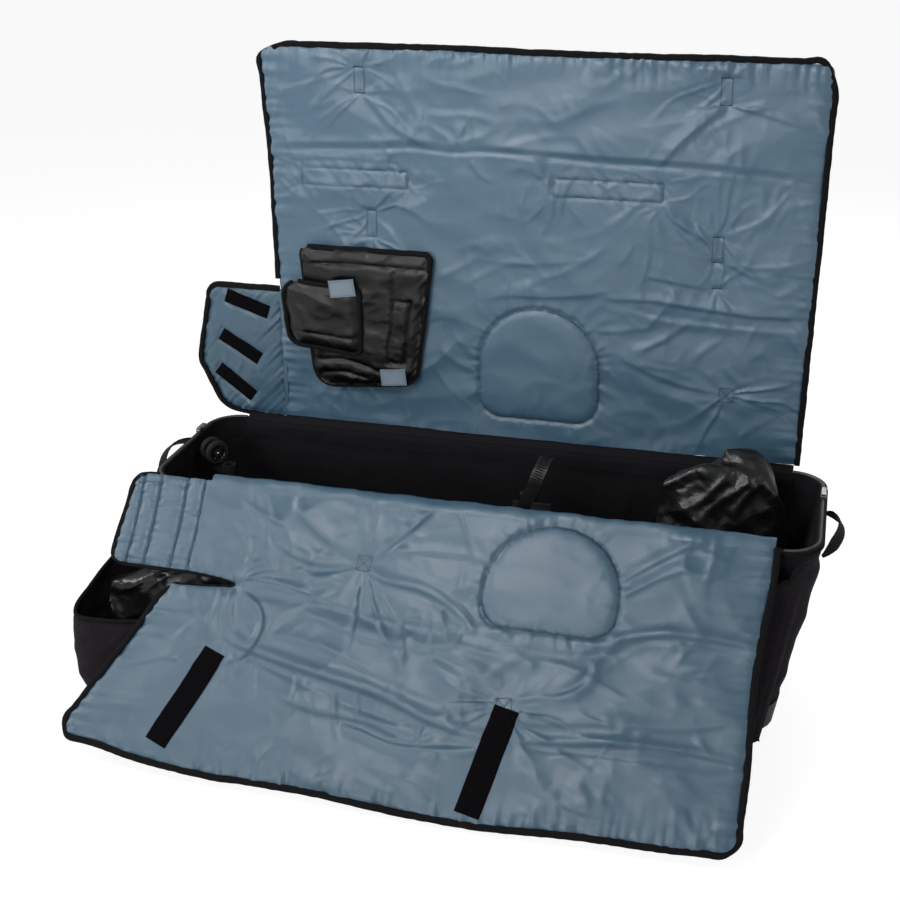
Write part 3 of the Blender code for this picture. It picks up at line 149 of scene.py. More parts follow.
def smooth_line(points, spacing):
    """A Catmull-Rom curve through the points, in even steps."""
    p = np.asarray(points, float)
    e = np.vstack([2 * p[0] - p[1], p, 2 * p[-1] - p[-2]])
    a, b, c, d = (e[k:len(e) - 3 + k, None] for k in range(4))
    t = np.linspace(0.0, 1.0, 16, endpoint=False)[None, :, None]
    curve = 0.5 * (2 * b + (c - a) * t + (2 * a - 5 * b + 4 * c - d) * t ** 2
                   + (3 * b - a - 3 * c + d) * t ** 3)
    return even(np.vstack([curve.reshape(-1, p.shape[1]), p[-1]]), spacing)


def line_distance(x, y, points):
    """Distance to a bent line, positive on its left, and the share of its length at the nearest point."""
    points = np.asarray(points, float)
    lengths = np.linalg.norm(np.diff(points, axis=0), axis=1)
    done, total = 0.0, lengths.sum()
    best = np.full(np.shape(x), 1e9)
    side, along = np.zeros(np.shape(x)), np.zeros(np.shape(x))
    for (x0, y0), (x1, y1), length in zip(points[:-1], points[1:], lengths):
        ux, uy = (x1 - x0) / length, (y1 - y0) / length
        t = np.clip((x - x0) * ux + (y - y0) * uy, 0.0, length)
        dx, dy = x - x0 - t * ux, y - y0 - t * uy
        d = np.hypot(dx, dy)
        near = d < best
        best = np.where(near, d, best)
        side = np.where(near, np.sign(ux * dy - uy * dx), side)
        along = np.where(near, (done + t) / total, along)
        done += length
    return best * side, along


def crease(x, y, points, height, width, lean=0.0):
    """A fold along a line, drawn at CREASE_SIZE of its height and width, with a step of lean across it."""
    d, along = line_distance(x, y, smooth_line(points, 0.012))
    height, width = height * CREASE_SIZE, width * CREASE_SIZE
    taper = np.sqrt(np.clip(4 * along * (1 - along), 0.0, 1.0)) * 0.85 + 0.15
    q = d / width
    return height * taper * (np.exp(-np.abs(q) ** 1.3) + lean * q * np.exp(-(q / 1.7) ** 2))


def tuft(x, y, cx, cy, depth, reach, seed, spokes=9, lift=0.5):
    """A stitched-down point, -depth * exp(-r / 0.3 reach), with pulled folds that run out from it.

    The folds are (1 - |w|)^1.5 of a wave w round the point, wander, keep to some directions, and rise and
    fade as q * exp(1 - q), q = r / 0.3 reach.
    """
    rng = np.random.default_rng(seed)
    r = np.hypot(x - cx, y - cy) + 1e-6
    angle = np.arctan2(y - cy, x - cx) + 0.32 * noise(x, y, reach * 0.7, seed + 2) * ease(0.0, 0.4 * reach, r)
    wave = 0.0
    for k in range(2, spokes):
        wave = wave + np.cos(k * angle + rng.uniform(0, 2 * np.pi)) / math.sqrt(spokes - 2)
    fold = (1 - np.minimum(1.0, 1.1 * np.abs(wave))) ** 1.5
    turns = rng.uniform(0, 2 * np.pi, 2)
    share = ease(-0.7, 1.1, np.cos(2 * angle + turns[0]) + 0.7 * np.cos(3 * angle + turns[1]))
    q = r / (reach * 0.30)
    return -depth * np.exp(-q) + depth * lift * share * (fold - 0.3) * q * np.exp(1 - q)


def grid_faces(rows, cols, around=False):
    """Quads of a grid of points, closed along its columns if it goes around."""
    i, j = np.meshgrid(np.arange(rows - 1), np.arange(cols if around else cols - 1), indexing="ij")
    k = (j + 1) % cols
    return np.stack([i * cols + j, i * cols + k, (i + 1) * cols + k, (i + 1) * cols + j], -1).reshape(-1, 4)


def outward(points, faces):
    """The faces, turned round if the volume that they close is negative."""
    total = 0.0
    for face in faces:
        a = points[face[:, 0]]
        for k in range(1, face.shape[1] - 1):
            total += np.einsum("ij,ij->", a, np.cross(points[face[:, k]], points[face[:, k + 1]]))
    return faces if total > 0 else [face[:, ::-1] for face in faces]


def make_piece(name, points, faces, material, uv=None, angle=50.0):
    """One mesh object from points and arrays of faces, with a UV map in metres if uv is given."""
    faces = outward(points, [np.asarray(face) for face in faces])
    used = np.unique(np.concatenate([face.ravel() for face in faces]))
    index = np.full(len(points), -1)
    index[used] = np.arange(len(used))
    mesh = bpy.data.meshes.new(name)
    mesh.from_pydata(points[used].tolist(), [], [row for face in faces for row in index[face].tolist()])
    if uv is not None:
        loops = np.zeros(len(mesh.loops), np.int32)
        mesh.loops.foreach_get("vertex_index", loops)
        layer = mesh.uv_layers.new(name="cloth")
        layer.data.foreach_set("uv", uv[used][loops].astype(np.float32).ravel())
    mesh.shade_smooth()
    mesh.set_sharp_from_angle(angle=math.radians(angle))
    mesh.materials.append(material)
    item = bpy.data.objects.new(name, mesh)
    bpy.context.collection.objects.link(item)
    return item


def pad_mesh(name, place, x, s, top, low, material, keep=None, block=BLOCK):
    """A closed pad on a grid: a fine upper face, a lower face on each block's corners, and walls between.

    place(x, s, height) gives the points; keep says which coarse cells the cloth covers.
    """
    rows, cols = x.shape
    big_rows, big_cols = (rows - 1) // block, (cols - 1) // block
    keep = np.ones((big_rows, big_cols), bool) if keep is None else keep
    upper = place(x, s, top).reshape(-1, 3)
    bx, bs, bl = (a[::block, ::block] for a in (x, s, low))
    lower = place(bx, bs, bl).reshape(-1, 3)
    fine = np.repeat(np.repeat(keep, block, 0), block, 1).ravel()
    quads = grid_faces(rows, cols)[fine]
    base = rows * cols
    under = grid_faces(big_rows + 1, big_cols + 1)[keep.ravel()][:, ::-1] + base
    faces = [quads, under]
    edge = np.zeros((big_rows + 2, big_cols + 2), bool)
    edge[1:-1, 1:-1] = keep
    chain = np.arange(block + 1)
    for flat in (True, False):
        one, two = (edge[:-1, 1:-1], edge[1:, 1:-1]) if flat else (edge[1:-1, :-1], edge[1:-1, 1:])
        for mask, turn in ((two & ~one, 1), (one & ~two, -1)):
            i, j = np.nonzero(mask)
            if flat:
                run = (i * block * cols + j * block)[:, None] + chain
                ends = np.stack([i * (big_cols + 1) + j + 1, i * (big_cols + 1) + j], 1) + base
                flip = turn
            else:
                run = (i * block * cols + j * block)[:, None] + chain * cols
                ends = np.stack([(i + 1) * (big_cols + 1) + j, i * (big_cols + 1) + j], 1) + base
                flip = -turn
            wall = np.concatenate([run, ends], 1)
            faces.append(wall[:, ::-1] if flip > 0 else wall)
    faces = [face for face in faces if len(face)]
    points = np.vstack([upper, lower])
    uv = np.vstack([np.stack([x, s], -1).reshape(-1, 2), np.stack([bx, bs], -1).reshape(-1, 2)])
    return make_piece(name, points, faces, material, uv)


def sweep(name, path, section, up, material, scale=None):
    """A closed section carried along a path: its first axis lies across the path, its second along up."""
    path, section = np.asarray(path, float), np.asarray(section, float)
    tangent = unit(np.gradient(path, axis=0))
    side = unit(np.cross(tangent, np.broadcast_to(np.asarray(up, float), path.shape)))
    rise = np.cross(side, tangent)
    grown = section[None] if scale is None else section[None] * np.asarray(scale, float)[:, None, None]
    points = path[:, None] + side[:, None] * grown[..., :1] + rise[:, None] * grown[..., 1:2]
    rows, cols = len(path), len(section)
    last = (rows - 1) * cols
    faces = [grid_faces(rows, cols, True), np.arange(cols)[None, ::-1], np.arange(last, rows * cols)[None]]
    uv = np.stack(np.broadcast_arrays(run_length(path)[:, None], run_length(section)[None]), -1)
    return make_piece(name, points.reshape(-1, 3), faces, material, uv.reshape(-1, 2))


def oval(width, height, count=12, power=0.75):
    """A rounded box section: |cos|^power by |sin|^power."""
    a = (np.arange(count) + 0.5) * 2 * np.pi / count
    way = np.stack([np.cos(a), np.sin(a)], 1)
    return np.sign(way) * np.abs(way) ** power * (width / 2, height / 2)


def threads(name, runs, material, length=0.0032, pitch=0.0042, size=0.00070, across=False):
    """Stitches along runs of (path, ways out): small four-sided spindles, end to end, sunk at their ends."""
    ring = np.array([(1, 0), (0, 1), (-1, 0), (0, -1)]) * size
    stations = np.array([(-0.5, 0.35, -0.4), (-0.25, 1.0, 0.35), (0.25, 1.0, 0.35), (0.5, 0.35, -0.4)])
    points, faces, count = [], [], 0
    cell = np.vstack([grid_faces(4, 4, True), [[3, 2, 1, 0], [12, 13, 14, 15]]])
    for path, normal in runs:
        line = even(path, pitch)
        middle = (line[1:] + line[:-1]) / 2
        way = unit(np.diff(line, axis=0))
        normal = np.atleast_2d(np.asarray(normal, float))
        far = np.linspace(0, len(normal) - 1, len(middle))
        up = np.stack([np.interp(far, np.arange(len(normal)), normal[:, k]) for k in range(3)], 1)
        side = unit(np.cross(way, up))
        if across:
            way, side = side, way
        block = (middle[:, None, None] + way[:, None, None] * stations[None, :, None, :1] * length
                 + side[:, None, None] * (ring[None, None, :, :1] * stations[None, :, None, 1:2])
                 + up[:, None, None] * (ring[None, None, :, 1:] * stations[None, :, None, 1:2]
                                        + stations[None, :, None, 2:] * size))
        points.append(block.reshape(-1, 3))
        faces.append((cell[None] + (count + np.arange(len(middle)) * 16)[:, None, None]).reshape(-1, 4))
        count += len(middle) * 16
    return make_piece(name, np.vstack(points), [np.vstack(faces)], material, angle=80)


# Materials
def node_group(name, inputs, outputs):
    """An empty shader node group with named float or vector inputs and float outputs."""
    tree = bpy.data.node_groups.new(name, "ShaderNodeTree")
    for label, value in inputs:
        kind = "NodeSocketVector" if value is None else "NodeSocketFloat"
        socket = tree.interface.new_socket(label, in_out="INPUT", socket_type=kind)
        if value is not None:
            socket.default_value = value
    for label in outputs:
        tree.interface.new_socket(label, in_out="OUTPUT", socket_type="NodeSocketFloat")
    return tree, tree.nodes.new("NodeGroupInput"), tree.nodes.new("NodeGroupOutput")


def math_node(tree, operation, a, b=None, clamp=False):
    """One math node whose operands are sockets or numbers; it gives back its output."""
    node = tree.nodes.new("ShaderNodeMath")
    node.operation = operation
    node.use_clamp = clamp
    for socket, value in zip(node.inputs, (a, b)):
        if value is None:
            continue
        if isinstance(value, (int, float)):
            socket.default_value = value
        else:
            tree.links.new(value, socket)
    return node.outputs[0]


def weighted(tree, a, x, b, y):
    """a times x plus b times y, where a and b are sockets."""
    return math_node(tree, "ADD", math_node(tree, "MULTIPLY", a, x), math_node(tree, "MULTIPLY", b, y))


def scaled(tree, vector, factor):
    """A vector times a number or a float socket."""
    node = tree.nodes.new("ShaderNodeVectorMath")
    node.operation = "SCALE"
    tree.links.new(vector, node.inputs[0])
    if isinstance(factor, (int, float)):
        node.inputs["Scale"].default_value = factor
    else:
        tree.links.new(factor, node.inputs["Scale"])
    return node.outputs[0]


def noise_node(tree, vector, scale, detail=3.0, roughness=0.55, distortion=0.0):
    """A noise texture; its factor output."""
    node = tree.nodes.new("ShaderNodeTexNoise")
    node.inputs["Detail"].default_value = detail
    node.inputs["Roughness"].default_value = roughness
    node.inputs["Distortion"].default_value = distortion
    tree.links.new(vector, node.inputs["Vector"])
    if isinstance(scale, (int, float)):
        node.inputs["Scale"].default_value = scale
    else:
        tree.links.new(scale, node.inputs["Scale"])
    return node.outputs["Fac"]


def weave_group():
    """Plain weave: each thread's round back, lifted over and under by the product of two sines."""
    tree, inside, outside = node_group("weave", (("Vector", None), ("Threads", 1500.0)), ("Height", "Over"))
    turned = scaled(tree, inside.outputs["Vector"], inside.outputs["Threads"])
    split = tree.nodes.new("ShaderNodeSeparateXYZ")
    tree.links.new(turned, split.inputs[0])
    waves = []
    for axis in ("X", "Y"):
        waves.append(math_node(tree, "SINE", math_node(tree, "MULTIPLY", split.outputs[axis], math.pi)))
    over = math_node(tree, "MULTIPLY", waves[0], waves[1])
    ribs = math_node(tree, "ADD", *(math_node(tree, "ABSOLUTE", wave) for wave in waves))
    share = math_node(tree, "ADD", math_node(tree, "MULTIPLY", over, 0.5), 0.5)
    tree.links.new(weighted(tree, over, 0.5, ribs, 0.25), outside.inputs["Height"])
    tree.links.new(share, outside.inputs["Over"])
    return tree


def mottle_group():
    """Cloudy variation from 0 to 1: two noises of different size, mixed and stretched."""
    tree, inside, outside = node_group("mottle", (("Vector", None), ("Scale", 20.0)), ("Mask",))
    broad = noise_node(tree, inside.outputs["Vector"], inside.outputs["Scale"], 4.0)
    small = math_node(tree, "MULTIPLY", inside.outputs["Scale"], 9.0)
    both = weighted(tree, broad, 0.7, noise_node(tree, inside.outputs["Vector"], small, 2.0), 0.3)
    stretched = math_node(tree, "MULTIPLY", math_node(tree, "SUBTRACT", both, 0.5), 2.6)
    tree.links.new(math_node(tree, "ADD", stretched, 0.5, True), outside.inputs["Mask"])
    return tree


def crumple_group():
    """Creases of crumpled nylon: cells of two sizes, distorted by noise."""
    tree, inside, outside = node_group("crumple", (("Vector", None), ("Scale", 25.0)), ("Height",))
    warp = tree.nodes.new("ShaderNodeTexNoise")
    warp.inputs["Detail"].default_value = 2.0
    tree.links.new(inside.outputs["Vector"], warp.inputs["Vector"])
    tree.links.new(inside.outputs["Scale"], warp.inputs["Scale"])
    bend = tree.nodes.new("ShaderNodeVectorMath")
    bend.operation = "MULTIPLY_ADD"
    bend.inputs[1].default_value = (0.03, 0.03, 0.03)
    tree.links.new(warp.outputs["Color"], bend.inputs[0])
    tree.links.new(inside.outputs["Vector"], bend.inputs[2])
    total = None
    for factor, weight in ((1.0, 0.6), (2.3, 0.4)):
        cell = tree.nodes.new("ShaderNodeTexVoronoi")
        cell.feature = "F1"
        tree.links.new(bend.outputs[0], cell.inputs["Vector"])
        tree.links.new(math_node(tree, "MULTIPLY", inside.outputs["Scale"], factor), cell.inputs["Scale"])
        part = math_node(tree, "MULTIPLY", cell.outputs["Distance"], weight)
        total = part if total is None else math_node(tree, "ADD", total, part)
    tree.links.new(total, outside.inputs["Height"])
    return tree


def rib_group():
    """Ribs of webbing: a rounded wave along the strap, with a finer one across it."""
    tree, inside, outside = node_group("ribs", (("Vector", None), ("Pitch", 0.002)), ("Height",))
    per_rib = math_node(tree, "DIVIDE", math.pi, inside.outputs["Pitch"])
    turned = scaled(tree, inside.outputs["Vector"], per_rib)
    split = tree.nodes.new("ShaderNodeSeparateXYZ")
    tree.links.new(turned, split.inputs[0])
    along = math_node(tree, "ABSOLUTE", math_node(tree, "SINE", split.outputs["X"]))
    finer = math_node(tree, "MULTIPLY", split.outputs["Y"], 1.6)
    cross = math_node(tree, "ABSOLUTE", math_node(tree, "SINE", finer))
    tree.links.new(weighted(tree, along, 0.7, cross, 0.3), outside.inputs["Height"])
    return tree


GROUPS = {"weave": weave_group(), "mottle": mottle_group(), "crumple": crumple_group(), "ribs": rib_group()}


def use_group(tree, name, vector, **values):
    """A node of one of the shared groups with its vector and values set."""
    node = tree.nodes.new("ShaderNodeGroup")
    node.node_tree = GROUPS[name]
    tree.links.new(vector, node.inputs["Vector"])
    for label, value in values.items():
        node.inputs[label].default_value = value
    return node


def finish_material(name, light, dark, rough, weave=None, crumple=None, ribs=None, grain=None, uv=True,
                    mottle=18.0, metallic=0.0, shader=None):
    """A Principled material: mottled colour and roughness, and bump from weave, crumple, ribs or grain.

    weave is (threads per metre, depth), crumple is (cells per metre, depth), ribs is (pitch, depth) and
    grain is (scale, depth); depths are in metres. shader holds constants for the shader's own sockets.
    """
    material = bpy.data.materials.new(name)
    material.use_nodes = True
    tree = material.node_tree
    principled = tree.nodes["Principled BSDF"]
    if uv:
        source = tree.nodes.new("ShaderNodeUVMap")
        source.uv_map = "cloth"
        vector = source.outputs["UV"]
    else:
        vector = tree.nodes.new("ShaderNodeTexCoord").outputs["Object"]
    mask = use_group(tree, "mottle", vector, Scale=mottle).outputs["Mask"]
    if weave:
        woven = use_group(tree, "weave", vector, Threads=weave[0])
        mask = math_node(tree, "ADD", math_node(tree, "MULTIPLY", mask, 0.75),
                         math_node(tree, "MULTIPLY", woven.outputs["Over"], 0.25))
    mix = tree.nodes.new("ShaderNodeMix")
    mix.data_type = "RGBA"
    mix.inputs["A"].default_value = (*dark, 1.0)
    mix.inputs["B"].default_value = (*light, 1.0)
    tree.links.new(mask, mix.inputs["Factor"])
    tree.links.new(mix.outputs["Result"], principled.inputs["Base Color"])
    spread = tree.nodes.new("ShaderNodeMapRange")
    spread.inputs["To Min"].default_value = rough[0]
    spread.inputs["To Max"].default_value = rough[1]
    tree.links.new(mask, spread.inputs["Value"])
    tree.links.new(spread.outputs["Result"], principled.inputs["Roughness"])
    principled.inputs["Metallic"].default_value = metallic
    for label, value in (shader or {}).items():
        principled.inputs[label].default_value = value
    normal = None
    steps = []
    if crumple:
        steps.append((use_group(tree, "crumple", vector, Scale=crumple[0]).outputs["Height"], crumple[1]))
    if grain:
        steps.append((noise_node(tree, vector, grain[0], 4.0), grain[1]))
    if ribs:
        steps.append((use_group(tree, "ribs", vector, Pitch=ribs[0]).outputs["Height"], ribs[1]))
    if weave:
        steps.append((woven.outputs["Height"], weave[1]))
    for height, depth in steps:
        bump = tree.nodes.new("ShaderNodeBump")
        bump.inputs["Distance"].default_value = depth
        tree.links.new(height, bump.inputs["Height"])
        if normal is not None:
            tree.links.new(normal, bump.inputs["Normal"])
        normal = bump.outputs["Normal"]
    if normal is not None:
        tree.links.new(normal, principled.inputs["Normal"])
    return material


satin = {"Specular IOR Level": 0.75}
matte = {"Specular IOR Level": 0.12}
M = {
    "lining": finish_material("lining_satin", (0.070, 0.142, 0.208), (0.064, 0.131, 0.193), (0.20, 0.23),
                              weave=(1500.0, 0.00012), grain=(420.0, 0.00025), mottle=9.0, shader=satin),
    # Painted shade: this copy of the lining satin is about a quarter darker. It is used on the front panel,
    # its wing and the hinge roll, which the lamps light more than the back panel, and on the back wing, which
    # is turned from the light.
    "front": finish_material("lining_satin_painted_shade", (0.052, 0.113, 0.168), (0.047, 0.104, 0.156), (0.20, 0.23),
                             weave=(1500.0, 0.00012), grain=(420.0, 0.00025), mottle=9.0, shader=satin),
    "tape": finish_material("edge_tape", (0.0075, 0.0070, 0.0080), (0.0040, 0.0038, 0.0045), (0.7, 0.85),
                            ribs=(0.0012, 0.0003), mottle=60.0, shader=matte),
    "shell": finish_material("shell_cloth", (0.0110, 0.0095, 0.0115), (0.0060, 0.0052, 0.0065), (0.7, 0.85),
                             weave=(1100.0, 0.0002), grain=(45.0, 0.0012), mottle=30.0, shader=matte),
    "heather": finish_material("heather_cloth", (0.0190, 0.0150, 0.0195), (0.0095, 0.0075, 0.0100),
                               (0.75, 0.9),
                               weave=(1300.0, 0.0002), grain=(70.0, 0.0008), mottle=160.0, shader=matte),
    "nylon": finish_material("crinkled_nylon", (0.0060, 0.0060, 0.0066), (0.0030, 0.0030, 0.0034),
                             (0.24, 0.38),
                             uv=False, crumple=(30.0, 0.0010), grain=(120.0, 0.0004), mottle=25.0),
    "quilt": finish_material("quilted_nylon", (0.0034, 0.0034, 0.0038), (0.0026, 0.0026, 0.0030),
                             (0.17, 0.21),
                             weave=(1500.0, 0.00012), grain=(300.0, 0.0002), mottle=25.0,
                             shader={"Specular IOR Level": 0.40}),
    "webbing": finish_material("webbing", (0.0095, 0.0090, 0.0100), (0.0045, 0.0043, 0.0050), (0.6, 0.75),
                               ribs=(0.0022, 0.0007), mottle=80.0, shader=matte),
    "pile": finish_material("hook_pile", (0.0060, 0.0052, 0.0062), (0.0018, 0.0016, 0.0020), (0.9, 1.0),
                            grain=(900.0, 0.0015), mottle=300.0, shader={"Specular IOR Level": 0.05}),
    # This thread colour is darker than the cloth around it. It is partly the thread's own colour and partly
    # painted shade of the sunken stitched seams it lies in.
    "thread": finish_material("blue_thread_seam_shade", (0.026, 0.044, 0.060), (0.018, 0.032, 0.044), (0.6, 0.75),
                              uv=False,
                              ribs=(0.0006, 0.0001), mottle=200.0),
    "dark_thread": finish_material("dark_thread", (0.008, 0.010, 0.012), (0.004, 0.005, 0.006), (0.6, 0.75),
                                   uv=False, ribs=(0.0006, 0.0001), mottle=200.0, shader=matte),
    "strap": finish_material("grey_blue_strap", (0.21, 0.275, 0.33), (0.17, 0.228, 0.28), (0.5, 0.65),
                             ribs=(0.0016, 0.0003), mottle=60.0),
    "plastic": finish_material("moulded_plastic", (0.0110, 0.0110, 0.0118), (0.0060, 0.0060, 0.0066),
                               (0.38, 0.55),
                               uv=False, grain=(700.0, 0.0002), mottle=30.0,
                               shader={"Specular IOR Level": 0.35}),
    "gloss": finish_material("smooth_plastic", (0.0090, 0.0090, 0.0098), (0.0050, 0.0050, 0.0056),
                             (0.10, 0.20),
                             uv=False, grain=(200.0, 0.0001), mottle=30.0),
    "rubber": finish_material("wheel_rubber", (0.0170, 0.0165, 0.0172), (0.0090, 0.0088, 0.0092), (0.6, 0.8),
                              uv=False, grain=(500.0, 0.0003), mottle=60.0,
                              shader={"Specular IOR Level": 0.25}),
    "board": finish_material("floor_board", (0.0140, 0.0135, 0.0145), (0.0080, 0.0078, 0.0084), (0.6, 0.8),
                             uv=False, grain=(260.0, 0.0004), mottle=40.0, shader=matte),
    "metal": finish_material("dark_metal", (0.33, 0.33, 0.34), (0.24, 0.24, 0.25), (0.28, 0.42),
                             uv=False, grain=(400.0, 0.0001), mottle=90.0, metallic=1.0),
    "coil": finish_material("zip_coil", (0.062, 0.062, 0.068), (0.036, 0.036, 0.040), (0.4, 0.55),
                            uv=False, grain=(900.0, 0.0001), mottle=200.0),
}


def settle(item, body=None, bend=None, replaces=()):
    """Attach the piece to its body, or bake it in place where it bends between bodies, and hide the nodes it
    stands for.
    """
    if bend:
        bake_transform(item)
    else:
        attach(item, body)
    if replaces:
        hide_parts(*replaces)
    return item


# Camera, light and floor
def look(position, right, forward):
    """A camera or lamp matrix from its place, its right-hand way and the way that it faces."""
    forward = Vector(forward).normalized()
    right = Vector(right).normalized()
    up = right.cross(forward)
    return Matrix((
        (right.x, up.x, -forward.x, position[0]),
        (right.y, up.y, -forward.y, position[1]),
        (right.z, up.z, -forward.z, position[2]),
        (0, 0, 0, 1),
    ))


def make_camera(position, pitch, yaw, roll, focal_px, frame_px=900.0):
    """The photograph's camera: pitch down, yaw to the left and roll in radians, focal length in pixels."""
    data = bpy.data.cameras.new("camera")
    data.sensor_width = 36.0
    data.lens = 36.0 * focal_px / frame_px
    data.clip_start, data.clip_end = 0.05, 60.0
    item = bpy.data.objects.new("camera", data)
    bpy.context.collection.objects.link(item)
    forward = Vector((-math.sin(yaw) * math.cos(pitch), math.cos(yaw) * math.cos(pitch), -math.sin(pitch)))
    right = Vector((math.cos(yaw), math.sin(yaw), 0.0))
    up = right.cross(forward)
    right = right * math.cos(roll) + up * math.sin(roll)
    item.matrix_world = look(position, right, forward)
    bpy.context.scene.camera = item


def make_lamp(name, place, aim, size, power):
    """A square softbox at a place, facing the aim."""
    data = bpy.data.lights.new(name, "AREA")
    data.shape = "RECTANGLE"
    data.size, data.size_y = size
    data.energy = power
    item = bpy.data.objects.new(name, data)
    bpy.context.collection.objects.link(item)
    forward = Vector(aim) - Vector(place)
    right = forward.cross(Vector((0, 0, 1)))
    item.matrix_world = look(place, right, forward)


def seen_white(tree, base, white, share):
    """Mix of a shader and a white emission for rays that the camera, gloss or glass sends."""
    path = tree.nodes.new("ShaderNodeLightPath")
    rays = math_node(tree, "MAXIMUM", path.outputs["Is Camera Ray"], path.outputs["Is Transmission Ray"])
    rays = math_node(tree, "MAXIMUM", rays, math_node(tree, "MULTIPLY", path.outputs["Is Glossy Ray"], 0.3))
    mix = tree.nodes.new("ShaderNodeMixShader")
    tree.links.new(math_node(tree, "MULTIPLY", rays, share), mix.inputs[0])
    tree.links.new(base, mix.inputs[1])
    tree.links.new(white, mix.inputs[2])
    return mix.outputs[0]


def make_stage():
    """A pale floor that keeps a soft shadow, a white world for the camera and a grey one for the light."""
    material = bpy.data.materials.new("pale_floor")
    material.use_nodes = True
    tree = material.node_tree
    tree.nodes.clear()
    out = tree.nodes.new("ShaderNodeOutputMaterial")
    plain = tree.nodes.new("ShaderNodeBsdfDiffuse")
    plain.inputs["Color"].default_value = (0.86, 0.86, 0.86, 1.0)
    glow = tree.nodes.new("ShaderNodeEmission")
    glow.inputs["Color"].default_value = (1.0, 1.0, 1.0, 1.0)
    glow.inputs["Strength"].default_value = 1.28
    tree.links.new(seen_white(tree, plain.outputs[0], glow.outputs[0], 0.70), out.inputs[0])
    side = 40.0
    corners = np.array([(-side, -side, 0), (side, -side, 0), (side, side, 0), (-side, side, 0)], float)
    mesh = bpy.data.meshes.new("floor")
    mesh.from_pydata(corners.tolist(), [], [(0, 1, 2, 3)])
    mesh.materials.append(material)
    item = bpy.data.objects.new("floor", mesh)
    bpy.context.collection.objects.link(item)
    world = bpy.data.worlds.new("studio")
    bpy.context.scene.world = world
    world.use_nodes = True
    tree = world.node_tree
    tree.nodes.clear()
    out = tree.nodes.new("ShaderNodeOutputWorld")
    fill = tree.nodes.new("ShaderNodeBackground")
    fill.inputs["Color"].default_value = (0.92, 0.96, 1.0, 1.0)
    fill.inputs["Strength"].default_value = 0.20
    white = tree.nodes.new("ShaderNodeBackground")
    white.inputs["Color"].default_value = (1.0, 1.0, 1.0, 1.0)
    white.inputs["Strength"].default_value = 0.95
    path = tree.nodes.new("ShaderNodeLightPath")
    rays = math_node(tree, "MAXIMUM", path.outputs["Is Camera Ray"], path.outputs["Is Transmission Ray"])
    rays = math_node(tree, "MAXIMUM", rays, math_node(tree, "MULTIPLY", path.outputs["Is Glossy Ray"], 0.3))
    mix = tree.nodes.new("ShaderNodeMixShader")
    tree.links.new(rays, mix.inputs[0])
    tree.links.new(fill.outputs[0], mix.inputs[1])
    tree.links.new(white.outputs[0], mix.inputs[2])
    tree.links.new(mix.outputs[0], out.inputs[0])


make_camera((0.566, -2.297, 1.478), math.radians(23.8), math.radians(15.5), math.radians(-0.43), 1384.0)
make_stage()
make_lamp("key_softbox", (-1.1, -3.1, 1.45), (0.0, -0.1, 0.5), (1.7, 0.9), 30.0)
make_lamp("near_softbox", (-0.33, -0.97, 1.64), (0.0, -0.25, 0.33), (0.6, 0.30), 9.0)
make_lamp("left_softbox", (-2.7, -0.5, 1.9), (0.0, 0.1, 0.55), (0.7, 1.4), 28.0)
make_lamp("right_softbox", (2.7, -1.6, 1.5), (0.1, 0.0, 0.5), (0.7, 1.6), 8.0)
make_lamp("back_softbox", (0.3, 2.3, 2.6), (0.0, 0.1, 0.5), (2.4, 1.2), 60.0)
bpy.context.scene.view_settings.view_transform = "Standard"


# Lining relief shared by the panels
def broad_waves(x, y, seed, size=0.005):
    """Slow swell of loose padding, stretched across the panel, with a few soft ridges."""
    swell = noise(x, y * 1.6, 0.24, seed) + 0.6 * noise(x * 1.1 + y * 0.7, y * 1.5 - x * 0.3, 0.13, seed + 1)
    return size * swell


def fine_folds(x, y, seed, size=0.0012):
    """Small creases in slanting families, present only in patches."""
    total = 0.0
    for k, (turn, cell) in enumerate(((0.5, 0.060), (-0.9, 0.048), (1.3, 0.040), (0.1, 0.052))):
        c, s = math.cos(turn), math.sin(turn)
        u, v = (x * c + y * s) * 0.34, -x * s + y * c
        patch = ease(0.05, 0.55, noise(x, y, 0.13, seed + 10 * k))
        total = total + patch * ridges(u, v, cell, seed + 10 * k + 1, 5.0)
    return size * total


def facets(x, y, seed, size):
    """Flat-sided folds of stiff cloth: 1 - |noise|^1.1 on three scales, crests and straight slopes."""
    fold = lambda a, b, cell, k: 1 - np.minimum(1.0, np.abs(noise(a, b, cell, k))) ** 1.1
    one = fold(x + 0.3 * y, y * 1.7, 0.24, seed)
    two = fold(x * 0.8 + y * 0.6, y * 1.5 - x * 0.35, 0.13, seed + 1)
    three = fold(x * 0.9 - y * 0.7, y * 1.4 + x * 0.5, 0.060, seed + 2)
    patch = ease(0.0, 0.55, noise(x, y, 0.19, seed + 3))
    return size * (one + 0.50 * two + 0.22 * patch * three - 1.1)


def pucker(distance, along, seed, size=0.0036, reach=0.022, cell=0.013):
    """Gathers at a sewn edge: ripples along it that fade away from it."""
    wave = noise(along, along * 0.37, cell, seed) + 0.6 * noise(along, along * 0.51, cell * 2.3, seed + 1)
    return size * wave * np.exp(-np.abs(distance) / reach)


def sewn_edge(distance, drop=0.0045, reach=0.006):
    """Padding pressed down towards a sewn edge: -drop * exp(-d / reach)."""
    return -drop * np.exp(-np.maximum(distance, 0.0) / reach)


# Back panel and roof flap
def back_place(x, up, height):
    """A place on the back panel: X as it is, up the panel is +Z, the lining faces -Y."""
    x, up, height = np.broadcast_arrays(x, up, height)
    return np.stack([x, HINGE_Y - height, HINGE_Z + up], -1)


